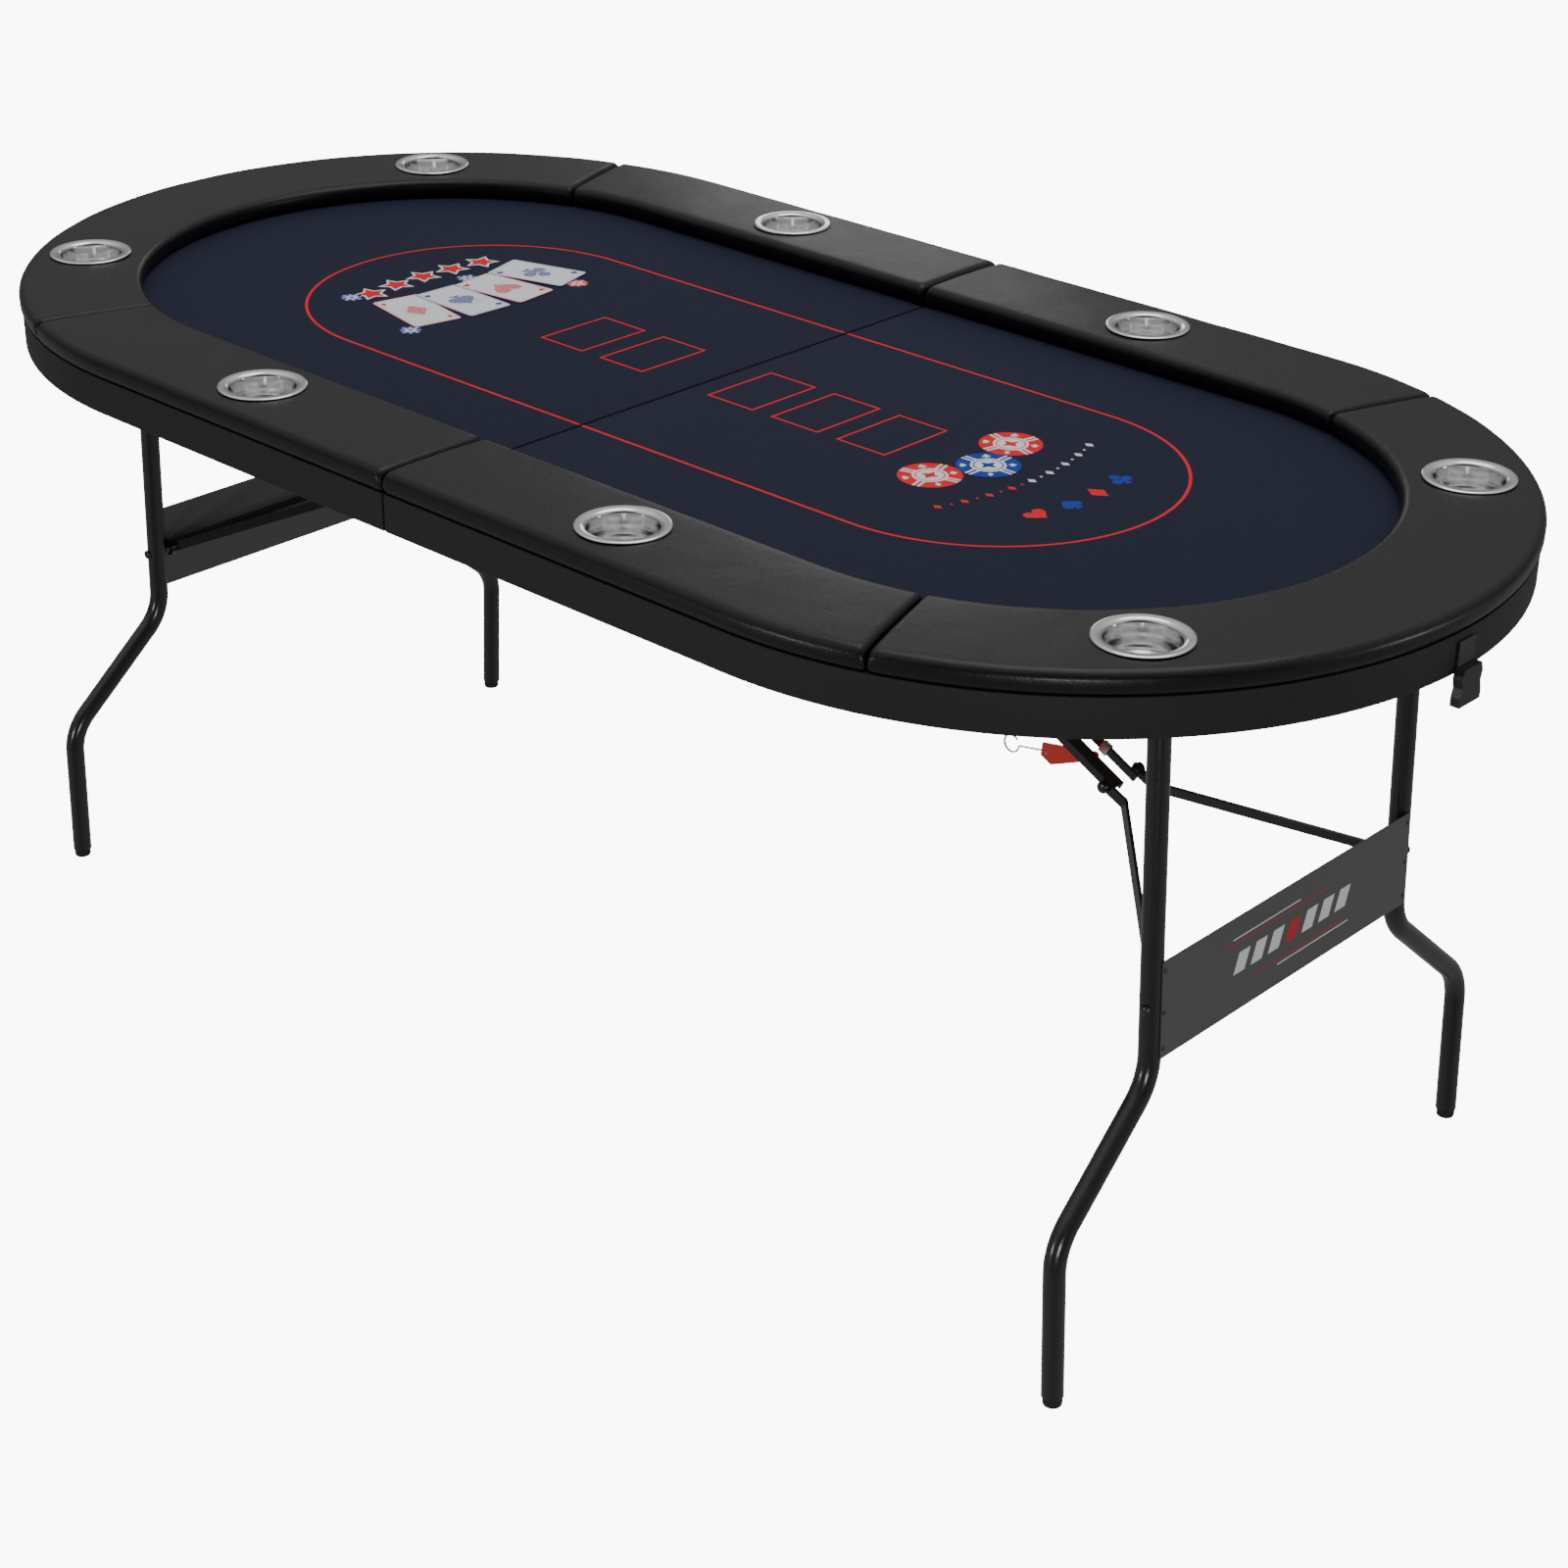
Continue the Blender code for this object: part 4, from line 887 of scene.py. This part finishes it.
for side, turn in SIDES.items():
    bolts = bmesh.new()
    knees = bmesh.new()
    screws = bmesh.new()
    saddle_low, saddle_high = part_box("right_saddle_far")
    leaf_low, leaf_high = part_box("right_hinge_leaf_far")
    for sign in (-1, 1):
        outward = (0, sign, 0)
        dome(bolts, (STRETCHER.x, sign * (LEG_Y + TUBE_RADIUS), STRETCHER.z), outward, STRETCHER_BOLT)
        for drop in RIVET_DROPS:
            dome(bolts, on_leg(sign * (LEG_Y - RIVET_INSET), drop, PANEL_FACE), OUT, PANEL_RIVET)
        dome(knees, (KNEE_X, sign * KNEE_Y, KNEE_Z), outward, KNEE_BOLT)
        saddle_y = sign * (saddle_low.y + saddle_high.y) / 2
        for x in (saddle_low.x + SCREW_INSET, saddle_high.x - SCREW_INSET):
            dome(screws, (x, saddle_y, saddle_high.z - SADDLE_SHEET), (0, 0, -1), SADDLE_SCREW)
        leaf_middle = (leaf_low.y + leaf_high.y) / 2
        for y in (leaf_low.y + LEAF_END_INSET, leaf_middle, leaf_high.y - LEAF_END_INSET):
            spot = (leaf_high.x - SCREW_INSET, sign * y, leaf_high.z - LEAF_SHEET)
            dome(screws, spot, (0, 0, -1), HINGE_SCREW)
    piece(side + "_leg_bolts", bolts, PAINT, side + "_leg", turn=turn, smooth_angle=50)
    piece(side + "_knee_bolts", knees, PAINT, side + "_v_brace", turn=turn, smooth_angle=50)
    piece(side + "_screws", screws, ZINC, side + "_half", turn=turn, smooth_angle=50)

# ------------------------------------------------------------------ panel stripes
# A plain printed band across the middle of each leg panel: slanted bars between thin rules, in
# semi-gloss screen ink on the charcoal paint.
STRIPE_RED = new_material("stripe_red", (0.62, 0.012, 0.028), 0.45)
STRIPE_WHITE = new_material("stripe_white", (0.86, 0.86, 0.87), 0.45)
for ink in (STRIPE_RED, STRIPE_WHITE):
    bump(ink, speckle(ink, 600.0, 2.0), 0.00010, 0.3)

# Each rule's first end, drop below the pivot, length and width; each bar's first end.
RULES = {"red": ((-0.110, 0.3160, 0.170, 0.0012), (-0.062, 0.3625, 0.160, 0.0012)),
         "white": ((-0.095, 0.3110, 0.110, 0.0014), (-0.020, 0.3675, 0.120, 0.0014))}
BARS = {"red": (-0.009,), "white": (-0.093, -0.065, -0.037, 0.019, 0.047, 0.075)}
BAR_SPAN = 0.018
BAR_SLANT = 0.009
BAR_TOP = 0.3285
BAR_BASE = 0.3500
INK_FILM = 0.0001
for side, turn in SIDES.items():
    for ink, material in (("red", STRIPE_RED), ("white", STRIPE_WHITE)):
        shapes = []
        for first, drop, span, width in RULES[ink]:
            last = first + span
            shapes.append([(first, drop), (last, drop), (last, drop + width), (first, drop + width)])
        for first in BARS[ink]:
            slanted = first + BAR_SLANT
            shapes.append([(slanted, BAR_TOP), (slanted + BAR_SPAN, BAR_TOP),
                           (first + BAR_SPAN, BAR_BASE), (first, BAR_BASE)])
        bm = bmesh.new()
        for corners in shapes:
            bm.faces.new([bm.verts.new(on_leg(y, drop, PANEL_FACE + INK_FILM)) for y, drop in corners])
        piece(f"{side}_panel_stripe_{ink}", bm, material, side + "_leg", turn=turn,
              looks=turn.to_3x3() @ OUT)

# ------------------------------------------------------------------ floor, light and camera
# A plain pale sweep and soft studio light. Nothing here is part of the table, and the sweep
# doesn't light the table or show in its polish.
floor_material = new_material("studio_floor", (0.90, 0.90, 0.90), 0.9, Specular_IOR_Level=0.2,
                              Emission_Color=(1.0, 1.0, 1.0, 1.0), Emission_Strength=9.0)
bm = bmesh.new()
bmesh.ops.create_grid(bm, x_segments=1, y_segments=1, size=40)
floor_mesh = bpy.data.meshes.new("studio_floor")
bm.to_mesh(floor_mesh)
bm.free()
floor_mesh.materials.append(floor_material)
studio_floor = bpy.data.objects.new("studio_floor", floor_mesh)
studio_floor.location.z = -0.0005
studio_floor.visible_glossy = False
studio_floor.visible_diffuse = False
bpy.context.scene.collection.objects.link(studio_floor)

# The surroundings are brightest overhead and darkest at the horizon, as positions and levels from
# straight down to straight up. They are dimmer behind the viewer, for contrast in polished steel.
SKY_LEVELS = ((0.0, 0.30), (0.46, 0.24), (0.54, 0.12), (1.0, 0.80))
VIEWER = Vector((0.68, -0.70, 0.22)).normalized()
world = bpy.data.worlds.new("studio")
world.use_nodes = True
sky = world.node_tree.nodes["Background"]
aim = add(world.node_tree, "ShaderNodeTexCoord")
split = add(world.node_tree, "ShaderNodeSeparateXYZ")
rise = add(world.node_tree, "ShaderNodeMapRange", From_Min=-1.0)
shade = add(world.node_tree, "ShaderNodeValToRGB")
while len(shade.color_ramp.elements) < len(SKY_LEVELS):
    shade.color_ramp.elements.new(0.5)
for stop, (place, level) in zip(shade.color_ramp.elements, SKY_LEVELS):
    stop.position = place
    stop.color = (level, level, level, 1.0)
toward = add(world.node_tree, "ShaderNodeVectorMath")
toward.operation = "DOT_PRODUCT"
toward.inputs[1].default_value = VIEWER
dim = add(world.node_tree, "ShaderNodeMapRange", From_Min=0.55, From_Max=0.90, To_Min=1.0, To_Max=0.15)
for output, socket in ((aim.outputs["Generated"], split.inputs[0]),
                       (split.outputs["Z"], rise.inputs["Value"]),
                       (rise.outputs["Result"], shade.inputs["Fac"]),
                       (shade.outputs["Color"], sky.inputs["Color"]),
                       (aim.outputs["Generated"], toward.inputs[0]),
                       (toward.outputs["Value"], dim.inputs["Value"]),
                       (dim.outputs["Result"], sky.inputs["Strength"])):
    world.node_tree.links.new(output, socket)
bpy.context.scene.world = world

# Each lamp's place, size and power. All are aimed at the middle of the table.
AIM = Vector((0.0, 0.0, 0.6))
LIGHTS = (("top_light", (0.2, 0.4, 3.4), 2.4, 22.0), ("fill_light", (2.6, -2.4, 0.55), 0.8, 20.0),
          ("rim_light", (-2.6, 3.2, 1.9), 1.0, 3.0), ("side_light", (3.4, 1.6, 0.9), 0.6, 12.0),
          ("front_light", (-0.6, -3.4, 0.6), 0.8, 16.0))
for name, spot, size, power in LIGHTS:
    lamp = bpy.data.lights.new(name, "AREA")
    lamp.shape = "DISK"
    lamp.size = size
    lamp.energy = power
    lamp_object = bpy.data.objects.new(name, lamp)
    lamp_object.location = spot
    lamp_object.rotation_euler = (AIM - Vector(spot)).to_track_quat("-Z", "Y").to_euler()
    bpy.context.scene.collection.objects.link(lamp_object)

EYE = Vector((2.13093, -2.19358, 1.83410))
LOOK_AT = Vector((0.51094, -0.44251, 0.6))
ROLL = math.radians(0.742)
camera_data = bpy.data.cameras.new("camera")
camera_data.sensor_width = 36.0
camera_data.lens = 70.03
camera = bpy.data.objects.new("camera", camera_data)
ahead = (LOOK_AT - EYE).normalized()
across = ahead.cross(Vector((0, 0, 1))).normalized()
above = across.cross(ahead)
rolled_across = across * math.cos(ROLL) + above * math.sin(ROLL)
rolled_above = above * math.cos(ROLL) - across * math.sin(ROLL)
turned = Matrix((rolled_across, rolled_above, -ahead)).transposed().to_4x4()
camera.matrix_world = Matrix.Translation(EYE) @ turned
bpy.context.scene.collection.objects.link(camera)
bpy.context.scene.camera = camera
